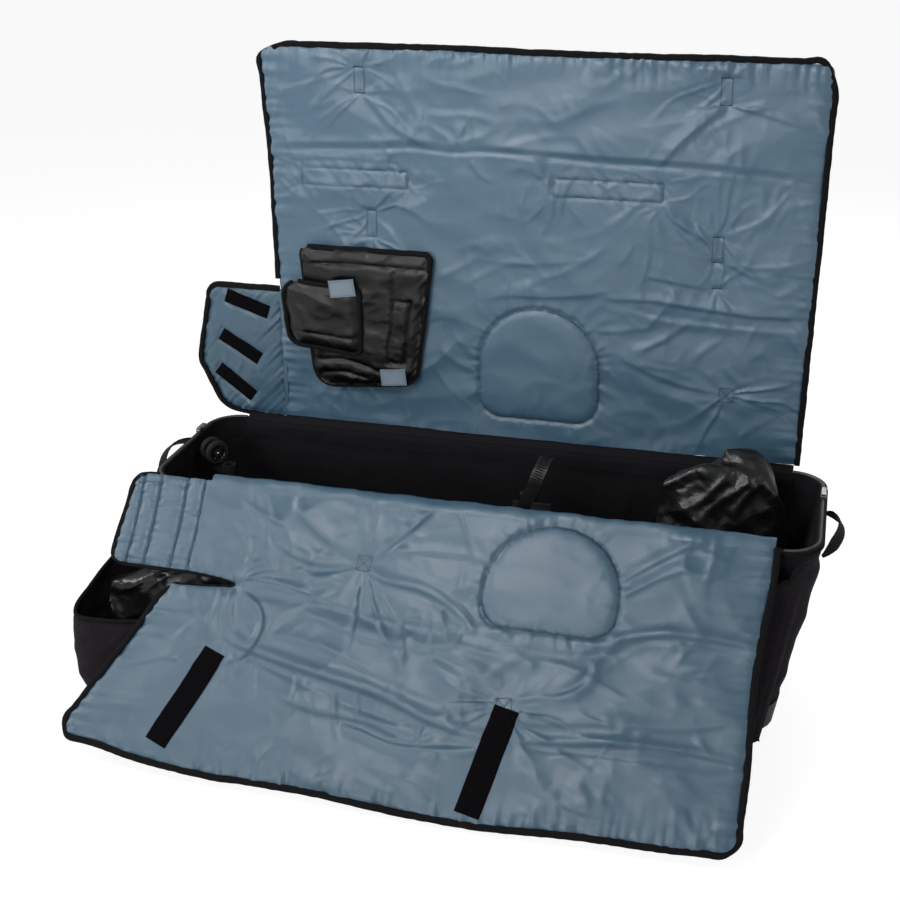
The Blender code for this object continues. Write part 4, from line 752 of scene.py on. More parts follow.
BACK_CREASES = (
    # points, height, width, lean
    (((-0.468, 0.552), (-0.376, 0.556), (-0.276, 0.560), (-0.193, 0.566), (-0.105, 0.562), (-0.061, 0.566),
      (0.012, 0.565), (0.104, 0.559), (0.209, 0.554), (0.271, 0.555), (0.38, 0.551), (0.48, 0.544),
      (0.560, 0.536)),
     -0.0042, 0.0065, 0.5),
    (((-0.465, 0.566), (-0.3, 0.574), (-0.193, 0.583), (-0.11, 0.578)), 0.0034, 0.011, 0.2),
    (((-0.06, 0.580), (0.1, 0.573), (0.25, 0.570), (0.40, 0.565), (0.555, 0.553)), 0.0032, 0.011, 0.2),
    (((-0.456, 0.535), (-0.338, 0.543), (-0.209, 0.540)), 0.0022, 0.006, 0.4),
    (((-0.105, 0.563), (-0.115, 0.591), (-0.150, 0.610)), 0.0035, 0.008, 0.4),
    (((0.271, 0.557), (0.297, 0.589), (0.328, 0.621), (0.366, 0.652), (0.380, 0.666)), 0.0062, 0.010, 0.5),
    (((-0.281, 0.662), (-0.252, 0.634), (-0.226, 0.607), (-0.164, 0.575)), 0.0052, 0.009, 0.5),
    (((-0.075, 0.550), (-0.057, 0.526), (-0.031, 0.510)), 0.0030, 0.008, 0.3),
    (((0.192, 0.305), (0.278, 0.308), (0.363, 0.300), (0.467, 0.293), (0.556, 0.298)), 0.0042, 0.008, 0.5),
    (((0.221, 0.285), (0.308, 0.269), (0.435, 0.265), (0.552, 0.268)), 0.0036, 0.009, -0.4),
    (((0.254, 0.354), (0.325, 0.345), (0.375, 0.336)), 0.0034, 0.009, 0.4),
    (((0.282, 0.492), (0.310, 0.458), (0.369, 0.425)), 0.0044, 0.009, 0.5),
    (((0.303, 0.472), (0.339, 0.458), (0.378, 0.440)), -0.0026, 0.007, 0.3),
    (((-0.045, 0.287), (0.000, 0.298), (0.075, 0.300), (0.148, 0.309), (0.184, 0.319)), 0.0030, 0.010, 0.5),
    (((-0.060, 0.362), (0.036, 0.361), (0.146, 0.376)), 0.0024, 0.010, 0.3),
    (((0.398, 0.667), (0.471, 0.650), (0.536, 0.633)), 0.0032, 0.008, 0.4),
    (((0.372, 0.666), (0.307, 0.637), (0.240, 0.625)), 0.0030, 0.009, 0.3),
    (((-0.294, 0.709), (-0.370, 0.686), (-0.448, 0.662)), 0.0030, 0.009, 0.4),
    (((-0.277, 0.742), (-0.280, 0.730), (-0.290, 0.709)), 0.0034, 0.006, 0.4),
    (((-0.234, 0.738), (-0.257, 0.717), (-0.278, 0.711)), 0.0026, 0.006, 0.4),
    (((0.359, 0.742), (0.374, 0.731), (0.380, 0.715)), 0.0032, 0.006, 0.4),
    (((0.411, 0.742), (0.400, 0.725), (0.388, 0.714)), 0.0028, 0.006, 0.4),
    (((-0.10, 0.20), (-0.16, 0.14), (-0.26, 0.10), (-0.36, 0.09)), 0.0040, 0.012, 0.4),
    (((0.22, 0.19), (0.32, 0.15), (0.42, 0.134)), 0.0036, 0.010, 0.4),
    (((0.42, 0.134), (0.49, 0.120), (0.55, 0.10)), 0.0034, 0.010, 0.4),
    (((-0.44, 0.33), (-0.36, 0.35), (-0.27, 0.395)), 0.0036, 0.010, 0.4),
    (((-0.20, 0.36), (-0.23, 0.40), (-0.265, 0.43)), 0.0030, 0.008, 0.4),
    (((0.50, 0.52), (0.46, 0.47), (0.39, 0.435)), 0.0034, 0.009, 0.4),
    (((0.545, 0.40), (0.47, 0.385), (0.40, 0.387)), 0.0030, 0.008, 0.4),
)
BACK_BARS = ((-0.290, 0.711), (-0.288, 0.664), (-0.272, 0.445), (-0.272, 0.394), (0.380, 0.714),
             (0.381, 0.667),
             (0.385, 0.434), (0.385, 0.387), (0.389, 0.338))
BACK_FRAMES = ((-0.408, -0.198, 0.490, 0.522), (0.082, 0.282, 0.492, 0.525))
BACK_CROSS = (0.420, 0.134)
PAD_WIDTH, PAD_CORNER = 0.236, 0.045
BACK_PAD = (0.060, 0.046, 0.228)
FRONT_PAD = (0.178, 0.192, 0.188)


def pad_outline(width, height, spacing=0.004, grow=0.0):
    """A rounded D in plan, its flat side at zero: two corner arcs and a half circle on top."""
    half = width / 2
    turn = lambda cx, cy, r, a, b: np.stack([cx + r * np.cos(np.radians(np.linspace(a, b, 24))),
                                             cy + r * np.sin(np.radians(np.linspace(a, b, 24)))], 1)
    low = PAD_CORNER
    points = np.vstack([turn(half - low, low, low + grow, -90, 0),
                        turn(0, height - half, half + grow, 0, 180),
                        turn(-half + low, low, low + grow, 180, 270)])
    points = np.vstack([points, points[:1]])
    return even(points, spacing)[:-1]


def inside_distance(x, y, outline):
    """Distance to a closed outline, negative inside it."""
    return -line_distance(x, y, np.vstack([outline, outline[:1]]))[0]


def box_line(x, y, frame_box, width, depth):
    """A groove along a rectangle's edge: -depth * exp(-(d / width)^2)."""
    x0, x1, y0, y1 = frame_box
    dx = np.abs(x - (x0 + x1) / 2) - (x1 - x0) / 2
    dy = np.abs(y - (y0 + y1) / 2) - (y1 - y0) / 2
    d = np.maximum(dx, dy)
    d = np.where((dx > 0) & (dy > 0), np.hypot(dx, dy), d)
    return -depth * np.exp(-(d / width) ** 2), d


def back_left_edge(up):
    """The free left edge, which leans out towards the top."""
    return BACK_LEFT - 0.010 * ease(0.50, 0.744, up)


def back_top_edge(x):
    """The top edge, a slow wave."""
    return (BACK_TOP + 0.0035 * np.cos((x + 0.28) / 0.17) * ease(0.55, 0.0, np.abs(x))
            - 0.003 * ease(0.3, 0.56, x))


def back_relief(x, up):
    """Height of the lining on the back panel and roof flap."""
    h = 0.0050 + broad_waves(x, up, 3, 0.0026) + fine_folds(x, up, 40, 0.0018) + facets(x, up, 33, 0.0068)
    edges = ((x - back_left_edge(up), up, 11), (BACK_RIGHT - x, up, 12), (back_top_edge(x) - up, x, 13))
    for distance, along, seed in edges:
        h = h + sewn_edge(distance) + pucker(distance, along, seed)
    for points, height, width, lean in BACK_CREASES:
        h = h + crease(x, up, points, height, width, lean)
    for k, (bx, bu) in enumerate(BACK_BARS):
        across = np.exp(-((x - bx) / 0.012) ** 2)
        h = (h + tuft(x, up, bx, bu, 0.0040, 0.120, 60 + k, 9, 0.85)
             - 0.0022 * across * np.exp(-((up - bu) / 0.004) ** 2))
    h = h + tuft(x, up, *BACK_CROSS, 0.0042, 0.15, 75, 10, 0.9)
    for k, box in enumerate(BACK_FRAMES):
        groove, d = box_line(x, up, box, 0.0028, 0.0024)
        h = h + groove + pucker(d, x + up, 80 + k, 0.0022, 0.014, 0.014)
        for j, (cx, cu) in enumerate(((box[0], box[2]), (box[1], box[2]), (box[0], box[3]),
                                      (box[1], box[3]))):
            h = h + tuft(x, up, cx, cu, 0.0010, 0.10, 300 + 5 * k + j, 7, 1.8) * ease(-0.002, 0.004, d)
    cx, base, height = BACK_PAD
    d = inside_distance(x - cx, up - base, pad_outline(PAD_WIDTH, height))
    rays = np.where(d > 0, pucker(d, np.arctan2(up - base - 0.11, x - cx) * 0.12, 90, 0.0026, 0.016, 0.012),
                    0.0)
    h = h - 0.0036 * np.exp(-(d / 0.005) ** 2) + rays
    return np.where(d < 0, h * 0.45 + 0.0016, h)


def fine_grid(width, height):
    """Even shares across and up, both divided into whole blocks of fine cells."""
    cols, rows = (max(1, round(size / PITCH / BLOCK)) * BLOCK for size in (width, height))
    return np.meshgrid(np.linspace(0, 1, cols + 1), np.linspace(0, 1, rows + 1))


def round_corner(x, y, x0, x1, y1, radius):
    """Pull the two corners at a grid's end in to arcs: a quarter square goes to a quarter disc."""
    a = np.clip((np.maximum(x0 + radius - x, x - x1 + radius)) / radius, 0, 1)
    b = np.clip((y - y1 + radius) / radius, 0, 1)
    sign = np.where(x < (x0 + x1) / 2, -1.0, 1.0)
    return (x + sign * radius * (a * np.sqrt(1 - b * b / 2) - a),
            y + radius * (b * np.sqrt(1 - a * a / 2) - b))


BACK_LOW = 0.005
roof_bend = ("back_panel", "roof_flap", (0, HINGE_Y, HINGE_Z + BACK_HEIGHT - 0.018),
             (0, HINGE_Y, HINGE_Z + BACK_HEIGHT + 0.018))


def build_back():
    """Lining, outer cloth, edge tape, pad and stitches of the back panel with its roof flap."""
    u, v = fine_grid(BACK_RIGHT - BACK_LEFT, BACK_TOP - BACK_LOW)
    x = BACK_LEFT + u * (BACK_RIGHT - BACK_LEFT)
    up = BACK_LOW + v * (back_top_edge(x) - BACK_LOW)
    x = x + (back_left_edge(up) - BACK_LEFT) * (1 - u)
    x, up = round_corner(x, up, back_left_edge(BACK_TOP), BACK_RIGHT, BACK_TOP, 0.020)
    top = back_relief(x, up)
    lining = pad_mesh("back_lining", back_place, x, up, top, np.full_like(x, -0.0028), M["lining"])
    settle(lining, bend=roof_bend, replaces=("back_panel", "roof_flap"))
    skip = 2
    cx, cu = x[::skip, ::skip], up[::skip, ::skip]
    outer = -0.0062 - 0.0022 * layered(cx, cu, 0.11, 21, 3) - 0.0010 * ridges(cx, cu * 0.5, 0.07, 25, 4.0)
    outer = outer - 0.0014 * np.exp(-((cu - BACK_HEIGHT) / 0.006) ** 2) * -1.0
    cloth = pad_mesh("back_outer_cloth", back_place, cx, cu, outer, np.full_like(cx, -0.0030), M["shell"],
                     block=2)
    settle(cloth, bend=roof_bend)

    rim_x = np.concatenate([np.full(80, BACK_RIGHT), np.linspace(BACK_RIGHT - 0.02, BACK_LEFT + 0.01, 120),
                            np.full(60, BACK_LEFT)])
    rim_up = np.concatenate([np.linspace(0.004, BACK_TOP - 0.02, 80), np.full(120, BACK_TOP),
                             np.linspace(BACK_TOP - 0.02, WING_TOP + 0.002, 60)])
    rim_x = np.where(rim_x <= BACK_LEFT + 1e-6, back_left_edge(rim_up), rim_x)
    rim_up = np.where(rim_up >= BACK_TOP - 1e-6, back_top_edge(rim_x), rim_up)
    line = smooth_line(np.stack([rim_x, rim_up], 1)[::4], 0.005)
    edge_tape("back_edge_tape", back_place, line, 31, bend=roof_bend,
              replaces=("back_binding_left", "back_binding_right", "roof_flap_binding"))

    cx0, base, height = BACK_PAD
    pad_piece("back_pad_cushion", back_place, back_relief, cx0, base, height, 1.0, "back_panel",
              "back_pad", 41)
    runs, roof_runs, dark = [], [], []
    for bx, bu in BACK_BARS:
        dark.append(surface_run(back_place, back_relief, [(bx - 0.010, bu), (bx + 0.010, bu)]))
    for x0, x1, y0, y1 in BACK_FRAMES:
        runs.append(surface_run(back_place, back_relief, [(x0, y0), (x1, y0), (x1, y1), (x0, y1), (x0, y0)],
                                True))
    for a, b in ((-0.272, 0.445, ), (0.385, 0.434), (-0.289, 0.711), (0.3805, 0.714)):
        for dx in (-0.0095, 0.0095):
            run = surface_run(back_place, back_relief, [(a + dx, b), (a + dx, b - 0.047)])
            (roof_runs if b > BACK_HEIGHT else runs).append(run)
    runs += cross_runs(back_place, back_relief, *BACK_CROSS)
    settle(threads("back_stitches", runs, M["thread"]), body="back_panel")
    settle(threads("roof_stitches", roof_runs, M["thread"]), body="roof_flap")
    bars = threads("back_bartacks", [run for run, (bx, bu) in zip(dark, BACK_BARS) if bu < BACK_HEIGHT],
                   M["dark_thread"], length=0.0026, pitch=0.0026, size=0.0008)
    settle(bars, body="back_panel")
    bars = threads("roof_bartacks", [run for run, (bx, bu) in zip(dark, BACK_BARS) if bu > BACK_HEIGHT],
                   M["dark_thread"], length=0.0026, pitch=0.0026, size=0.0008)
    settle(bars, body="roof_flap")


def surface_run(place, relief, corners, square=False):
    """A run of stitches on a lining through flat corner points, with the way out of the lining."""
    line = even(corners, 0.004) if square else even(np.asarray(corners, float), 0.002)
    h = relief(line[:, 0], line[:, 1]) + 0.0006
    path = place(line[:, 0], line[:, 1], h)
    out = place(line[:, 0], line[:, 1], h + 0.01) - path
    return path, out / np.linalg.norm(out, axis=1)[:, None]


def cross_runs(place, relief, cx, cy, half=0.013, tall=0.014, turn=0.0):
    """A sewn box with a cross in it."""
    c, s = math.cos(turn), math.sin(turn)
    at = lambda a, b: (cx + a * c - b * s, cy + a * s + b * c)
    box = [at(-half, -tall), at(half, -tall), at(half, tall), at(-half, tall), at(-half, -tall)]
    return [surface_run(place, relief, box, True),
            surface_run(place, relief, [at(-half, -tall), at(half, tall)]),
            surface_run(place, relief, [at(-half, tall), at(half, -tall)])]


def edge_tape(name, place, line, seed, body=None, bend=None, replaces=(), slim=1.0, width=0.0115,
              thick=0.0100,
              height=0.0008, shift=0.0034):
    """Folded tape along a panel's edge: a flattened section, a little uneven, carried just outside it."""
    x, y = line[:, 0], line[:, 1]
    way = unit(np.gradient(line, axis=0))
    far = run_length(line)
    wobble = 0.0009 * noise(far, far * 0.3, 0.05, seed) + 0.0005 * noise(far, far * 0.2, 0.014, seed + 1)
    shift = slim * shift + wobble
    px, py = x + way[:, 1] * shift, y - way[:, 0] * shift
    lift = height + 0.0008 * noise(far, far * 0.4, 0.035, seed + 2)
    path = place(px, py, lift)
    out = place(px, py, lift + 0.01) - path
    grow = slim + 0.05 * noise(far, far * 0.3, 0.012, seed + 3) + 0.05 * noise(far, far * 0.3, 0.04, seed + 4)
    item = sweep(name, path, oval(width, thick, 14, 0.62), out, M["tape"], scale=grow)
    return settle(item, body=body, bend=bend, replaces=replaces)


def pad_piece(name, place, relief, cx, base, height, turn, body, node, seed, cloth="lining"):
    """A sewn D of padding: its crown is flat in the middle and rolls down to the stitched edge."""
    outline = pad_outline(PAD_WIDTH, height, 0.0036)
    middle = np.array([0.0, height * 0.48])
    share = 1 - (1 - np.linspace(0.0, 1.0, 25)) ** 1.35
    ring = middle + (outline - middle)[None] * share[:, None, None]
    x, y = cx + ring[..., 0], base + turn * ring[..., 1]
    d = np.minimum.reduce([np.hypot(ring[..., 0][..., None] - outline[::3, 0],
                                    ring[..., 1][..., None] - outline[::3, 1]).min(-1)])
    far = np.arange(len(outline)) * 0.0036
    dome = 0.0050 * (1 - np.exp(-(d / 0.0085) ** 1.3))
    dome = (dome + 0.0011 * noise(x, y, 0.07, seed)
            + pucker(d, np.broadcast_to(far, d.shape), seed + 2, 0.0017, 0.008, 0.009))
    low = relief(x, y)
    top = low + 0.0004 + dome * ease(0.0, 0.003, d)
    rows, cols = x.shape
    upper = place(x, y, top).reshape(-1, 3)
    under = place(x[-1], y[-1], low[-1] - 0.003)
    uv = np.stack([x, y], -1).reshape(-1, 2)
    quads = grid_faces(rows, cols, True)[cols:]
    hub = np.stack([np.zeros(cols, int), cols + np.arange(cols), cols + (np.arange(cols) + 1) % cols], -1)
    j = np.arange(cols)
    k = (j + 1) % cols
    last = (rows - 1) * cols
    wall = np.stack([last + j, last + k, rows * cols + k, rows * cols + j], -1)
    floor = (rows * cols + np.arange(cols))[None, ::-1]
    item = make_piece(name, np.vstack([upper, under]), [quads, hub, wall, floor], M[cloth],
                      np.vstack([uv, uv[-cols:]]))
    settle(item, body=body, replaces=(node,))
    ring_line = pad_outline(PAD_WIDTH, height, 0.002, grow=-0.0022)
    sx, sy = cx + ring_line[:, 0], base + turn * ring_line[:, 1]
    h = relief(sx, sy) + 0.0022
    path = place(sx, sy, h)
    out = place(sx, sy, h + 0.01) - path
    out = unit(out)
    border = threads(name + "_border", [(np.vstack([path, path[:1]]), np.vstack([out, out[:1]]))],
                     M["thread"],
                     length=0.0058, pitch=0.0030, size=0.00055, across=True)
    settle(border, body=body)


# Front panel, lower section and wing
SLOPE_UP = np.array([0.0, 0.66393, 0.7478])
SLOPE_OUT = np.array([0.0, -0.7478, 0.66393])
FRONT_ORIGIN = np.array([0.0, -HINGE_Y, HINGE_Z])
FOLD_POINT = np.array([-0.392, -0.29933, 0.24766])
FOLD_AXIS = np.array([0.99924, -0.0259, -0.02918])
FOLD_AXIS = FOLD_AXIS / np.linalg.norm(FOLD_AXIS)
FOLD_DOWN = -np.cross(SLOPE_OUT, FOLD_AXIS)
fold_bend = ("front_upper", "front_lower", tuple(FOLD_POINT - FOLD_DOWN * 0.016),
             tuple(FOLD_POINT + FOLD_DOWN * 0.016))


def front_place(x, s, height):
    """A place on the front panel: down its slope by s, turned about the fold line by its lift below it."""
    x, s, height = np.broadcast_arrays(x, s, height)
    x = x + 0.012 * ease(0.20, 0.0, s) * ease(0.38, 0.53, x)
    flat = (FRONT_ORIGIN + np.array([1.0, 0, 0]) * x[..., None] - SLOPE_UP * s[..., None]
            + SLOPE_OUT * height[..., None])
    from_fold = flat - FOLD_POINT
    share = ease(-0.020, 0.020, from_fold @ FOLD_DOWN)
    angle = -FOLD_LIFT * share
    c, n = np.cos(angle)[..., None], np.sin(angle)[..., None]
    turned = (from_fold * c + np.cross(FOLD_AXIS, from_fold) * n
              + FOLD_AXIS * (from_fold @ FOLD_AXIS)[..., None] * (1 - c))
    return FOLD_POINT + turned


FRONT_CREASES = (
    (((-0.394, 0.186), (-0.291, 0.190), (-0.134, 0.206), (-0.009, 0.211), (0.059, 0.212)), -0.0046, 0.011,
     -0.7),
    (((0.070, 0.214), (0.200, 0.226), (0.281, 0.214), (0.332, 0.200), (0.416, 0.192), (0.530, 0.190)),
     -0.0040, 0.012, -0.7),
    (((-0.369, 0.286), (-0.314, 0.299), (-0.191, 0.322), (-0.088, 0.339), (0.015, 0.371), (0.112, 0.387)),
     0.0080, 0.010, 0.9),
    (((-0.350, 0.300), (-0.217, 0.343), (-0.132, 0.362), (-0.030, 0.384), (0.060, 0.402)), -0.0040, 0.012,
     0.4),
    (((-0.291, 0.259), (-0.167, 0.282), (-0.095, 0.308)), 0.0036, 0.008, 0.6),
    (((0.281, 0.200), (0.332, 0.180), (0.391, 0.168), (0.473, 0.168), (0.528, 0.172)), 0.0072, 0.009, 1.0),
    (((0.164, 0.379), (0.239, 0.371), (0.327, 0.361), (0.437, 0.357), (0.524, 0.363)), 0.0058, 0.007, 0.9),
    (((0.173, 0.392), (0.292, 0.382), (0.403, 0.381), (0.510, 0.375)), -0.0036, 0.008, 0.5),
    (((-0.369, 0.189), (-0.335, 0.214), (-0.321, 0.242), (-0.324, 0.280), (-0.342, 0.308), (-0.372, 0.324)),
     0.0050, 0.006, -0.9),
    (((-0.393, 0.178), (-0.365, 0.165), (-0.295, 0.170), (-0.240, 0.180)), 0.0050, 0.007, 0.7),
    (((-0.409, 0.203), (-0.417, 0.240), (-0.414, 0.290)), 0.0036, 0.008, 0.5),
    (((-0.390, 0.196), (-0.381, 0.242), (-0.358, 0.281)), 0.0040, 0.008, -0.6),
    (((0.034, 0.331), (0.111, 0.319)), -0.0030, 0.004, 0.6),
    (((0.145, 0.316), (0.185, 0.306), (0.240, 0.300)), 0.0036, 0.006, 0.6),
    (((-0.302, -0.020), (-0.304, 0.027), (-0.246, 0.072), (-0.180, 0.102)), 0.0042, 0.012, 0.8),
    (((-0.146, 0.102), (-0.111, 0.068), (-0.076, 0.030), (-0.048, 0.000)), 0.0046, 0.008, 0.7),
    (((-0.151, 0.123), (-0.114, 0.139), (-0.046, 0.147), (0.007, 0.168), (0.050, 0.200)), 0.0056, 0.009, 0.8),
    (((-0.186, 0.115), (-0.236, 0.121), (-0.289, 0.115), (-0.329, 0.095)), 0.0046, 0.010, -0.7),
    (((-0.176, 0.124), (-0.232, 0.142), (-0.263, 0.158)), 0.0036, 0.008, 0.6),
    (((-0.140, 0.098), (-0.080, 0.080), (0.000, 0.075), (0.045, 0.080)), 0.0030, 0.009, 0.5),
    (((0.293, 0.087), (0.360, 0.039), (0.416, 0.006), (0.467, -0.018)), 0.0046, 0.009, 0.7),
    (((0.293, 0.119), (0.349, 0.080), (0.400, 0.054)), 0.0040, 0.009, 0.6),
    (((-0.427, 0.299), (-0.456, 0.320), (-0.468, 0.338)), 0.0038, 0.007, 0.5),
    (((-0.264, 0.365), (-0.210, 0.381), (-0.094, 0.387), (-0.042, 0.403)), 0.0050, 0.009, 0.8),
    (((-0.141, 0.395), (-0.039, 0.418), (0.069, 0.409), (0.113, 0.394)), 0.0048, 0.008, -0.7),
    (((-0.235, 0.470), (-0.179, 0.500), (-0.114, 0.505)), 0.0050, 0.014, 0.6),
    (((0.189, 0.435), (0.256, 0.470), (0.339, 0.482)), 0.0050, 0.012, 0.6),
    (((-0.077, 0.462), (0.046, 0.483)), 0.0034, 0.012, 0.4),
    (((0.262, 0.225), (0.270, 0.251), (0.248, 0.282), (0.212, 0.299)), 0.0044, 0.008, 0.8),
    (((0.424, 0.070), (0.474, 0.048), (0.525, 0.038)), 0.0034, 0.007, 0.5),
    (((0.407, 0.235), (0.462, 0.210), (0.520, 0.202)), 0.0034, 0.009, 0.6),
    (((-0.545, 0.349), (-0.481, 0.328), (-0.416, 0.339)), 0.0040, 0.009, 0.6),
    (((-0.560, 0.424), (-0.479, 0.422)), 0.0030, 0.010, 0.5),
    (((0.130, 0.350), (0.20, 0.345), (0.30, 0.330), (0.42, 0.322), (0.50, 0.300)), 0.0044, 0.011, 0.7),
    (((-0.02, 0.245), (0.05, 0.262), (0.12, 0.300)), 0.0040, 0.010, 0.7),
    (((-0.25, 0.210), (-0.15, 0.240), (-0.06, 0.250), (0.02, 0.240)), 0.0040, 0.013, 0.8),
)
FRONT_TUFT = (-0.162, 0.110)
FRONT_CROSS = (0.131, 0.326)
LOW_EDGE = ((-0.650, 0.485), (-0.500, 0.503), (-0.330, 0.515), (-0.100, 0.5185), (0.160, 0.521),
            (0.350, 0.512),
            (0.508, 0.502), (0.530, 0.501))
HALF_GAP = 0.002


def front_low_edge(x):
    """Depth of the lower free edge at x."""
    points = np.array(LOW_EDGE)
    wave = 0.0035 * np.sin(x / 0.075 + 1.0) * ease(-0.66, -0.5, x) * ease(0.52, 0.35, x)
    return np.interp(x, points[:, 0], points[:, 1]) + wave


def front_left_edge(s):
    """Left edge: the wing's seam above the slit, the slanting free edge below it."""
    line = smooth_line([(0.190, -0.519), (0.210, -0.524), (0.280, -0.552), (0.365, -0.591), (0.430, -0.622),
                        (0.490, -0.650)], 0.005)
    return np.where(s < SLIT_MIDDLE, FRONT_LEFT, np.interp(s, line[:, 0], line[:, 1]))


def slit_shift(x, s):
    """Opens the slit: cloth above it moves up and cloth below it moves down, left of its end."""
    far = s - SLIT_MIDDLE
    return np.sign(far) * (slit_half(x) - HALF_GAP) * np.exp(-np.maximum(np.abs(far) - HALF_GAP, 0.0) / 0.05)


def slit_half(x):
    """Half of the lining's opening at the slit: a square root of the distance from its end."""
    return HALF_GAP + 0.0125 * np.sqrt(np.clip((SLIT_END - x) / 0.10, 0.0, 1.0))


def front_relief(x, s):
    """Height of the lining on the front panel."""
    h = 0.0050 + broad_waves(x, s, 5, 0.0034) + fine_folds(x, s, 140, 0.0021) + facets(x, s, 133, 0.0066)
    low = front_low_edge(x) - s
    edges = [(FRONT_RIGHT - x, s, 111), (low, x, 112)]
    left = np.where(s > SLIT_MIDDLE, x - front_left_edge(s), 9.0)
    for distance, along, seed in edges:
        h = h + sewn_edge(distance) + pucker(distance, along, seed)
    h = h + sewn_edge(left) + pucker(left, s, 113, 0.0040, 0.034, 0.016)
    slit = np.hypot(np.maximum(x - SLIT_END, 0.0), np.maximum(np.abs(s - SLIT_MIDDLE) - slit_half(x), 0.0))
    h = h + sewn_edge(slit, 0.0035, 0.006) + pucker(slit, x, 114, 0.0022, 0.014, 0.013)
    h = h + tuft(x, s, SLIT_END, SLIT_MIDDLE, 0.0022, 0.20, 116, 12, 1.1)
    for points, height, width, lean in FRONT_CREASES:
        h = h + crease(x, s, points, height, width, -lean)
    h = h + tuft(x, s, *FRONT_TUFT, 0.0050, 0.25, 160, 10, 0.9)
    h = h + tuft(x, s, *FRONT_CROSS, 0.0048, 0.20, 171, 10, 0.9)
    cx, base, height = FRONT_PAD
    d = inside_distance(x - cx, base - s, pad_outline(PAD_WIDTH, height))
    rays = np.where(d > 0, pucker(d, np.arctan2(base - s - 0.09, x - cx) * 0.12, 190, 0.0028, 0.016, 0.012),
                    0.0)
    h = h - 0.0036 * np.exp(-(d / 0.005) ** 2) + rays
    return np.where(d < 0, h * 0.35 + 0.0020, h)


def build_front():
    """Lining, outer cloth, tape, pad, hook strips and stitches of the front panel."""
    right_part = np.linspace(0, 1, 308 + 1)
    left_part = np.linspace(0, 1, 44 + 1)
    rows_up = np.linspace(0, 1, 60 + 1)
    rows_low = np.linspace(0, 1, 108 + 1)
    gap_rows = np.linspace(0, 1, BLOCK + 1)
    above, below = SLIT_MIDDLE - HALF_GAP, SLIT_MIDDLE + HALF_GAP
    s_lines = np.concatenate([FRONT_START + rows_up * (above - FRONT_START),
                              above + (below - above) * gap_rows[1:],
                              below + rows_low[1:]])
    a = np.concatenate([left_part[:-1] - 1.0, right_part])
    share, s = np.meshgrid(a, s_lines)
    far = np.clip(s - below, 0.0, 1.0)
    s = np.where(s > below, below + far * 0.32, s)
    x = np.where(share < 0, SLIT_END + share * (SLIT_END - front_left_edge(s)),
                 SLIT_END + share * (FRONT_RIGHT - SLIT_END))
    s = np.where(s > below, below + far * (front_low_edge(x) - below), s)
    x = np.where(share < 0, SLIT_END + share * (SLIT_END - front_left_edge(s)), x)
    s = s + slit_shift(x, s)
    x = np.where(share < 0, SLIT_END + share * (SLIT_END - front_left_edge(s)), x)
    x, s = round_corner(x, s, front_left_edge(s), FRONT_RIGHT, front_low_edge(x), 0.022)
    big_rows, big_cols = (len(s_lines) - 1) // BLOCK, (len(a) - 1) // BLOCK
    keep = np.ones((big_rows, big_cols), bool)
    keep[60 // BLOCK, :44 // BLOCK] = False
    top = front_relief(x, s)
    # The front lining uses the darker satin copy, which is painted shade.
    lining = pad_mesh("front_lining", front_place, x, s, top, np.full_like(x, -0.0028), M["front"], keep)
    settle(lining, bend=fold_bend, replaces=("front_panel_upper", "front_panel_lower"))
    cx, cs = x[::2, ::2], s[::2, ::2]
    outer = -0.0062 - 0.0020 * layered(cx, cs, 0.10, 121, 3)
    cloth = pad_mesh("front_outer_cloth", front_place, cx, cs, outer, np.full_like(cx, -0.0030), M["shell"],
                     keep, 2)
    settle(cloth, bend=fold_bend)

    down = np.linspace(-0.004, 0.482, 24)
    right_side = np.stack([FRONT_RIGHT + 0.0018 * np.sin(down / 0.05), down], 1)
    across = np.linspace(FRONT_RIGHT - 0.020, -0.626, 40)
    bottom = np.stack([across, front_low_edge(across)], 1)
    rise = np.linspace(0.462, 0.215, 14)
    left_side = np.stack([front_left_edge(rise), rise], 1)
    lip = np.array([-0.508, -0.490, -0.460, -0.430, -0.408])
    low_lip = np.stack([lip, SLIT_MIDDLE + slit_half(lip)], 1)
    high_lip = np.stack([lip[::-1], SLIT_MIDDLE - slit_half(lip[::-1])], 1)[:-1]
    line = smooth_line(np.vstack([right_side, bottom, left_side, low_lip, [(SLIT_END + 0.004, SLIT_MIDDLE)],
                                  high_lip]), 0.004)
    narrow = ease(0.222, 0.200, line[:, 1]) * ease(-0.36, -0.40, line[:, 0])
    edge_tape("front_edge_tape", front_place, line, 131, bend=fold_bend,
              replaces=("front_upper_binding", "front_lower_binding"), slim=1.0 - 0.48 * narrow)

    cx0, base, height = FRONT_PAD
    # The front pad uses the darker satin copy (cloth "front"), which is painted shade.
    pad_piece("front_pad_cushion", front_place, front_relief, cx0, base, height, -1.0, "front_upper",
              "front_pad", 141,
              "front")
    for name, hx, hs, angle, seed in (("left_hook_strip", -0.428, 0.392, -20.0, 1),
                                      ("right_hook_strip", 0.119, 0.420, -11.0, 2)):
        node = "hook_strip_left" if seed == 1 else "hook_strip_right"
        strip_piece(name, front_place, front_relief, hx, hs, math.radians(-angle), 0.044, 0.186,
                    "front_lower", node)
    runs = cross_runs(front_place, front_relief, *FRONT_TUFT)
    item = threads("front_upper_stitches", runs, M["thread"])
    settle(item, body="front_upper")
    runs = cross_runs(front_place, front_relief, *FRONT_CROSS, turn=-0.15)
    runs += [surface_run(front_place, front_relief, [(0.034, 0.3335), (0.111, 0.3215)])]
    item = threads("front_lower_stitches", runs, M["thread"])
    settle(item, body="front_lower")


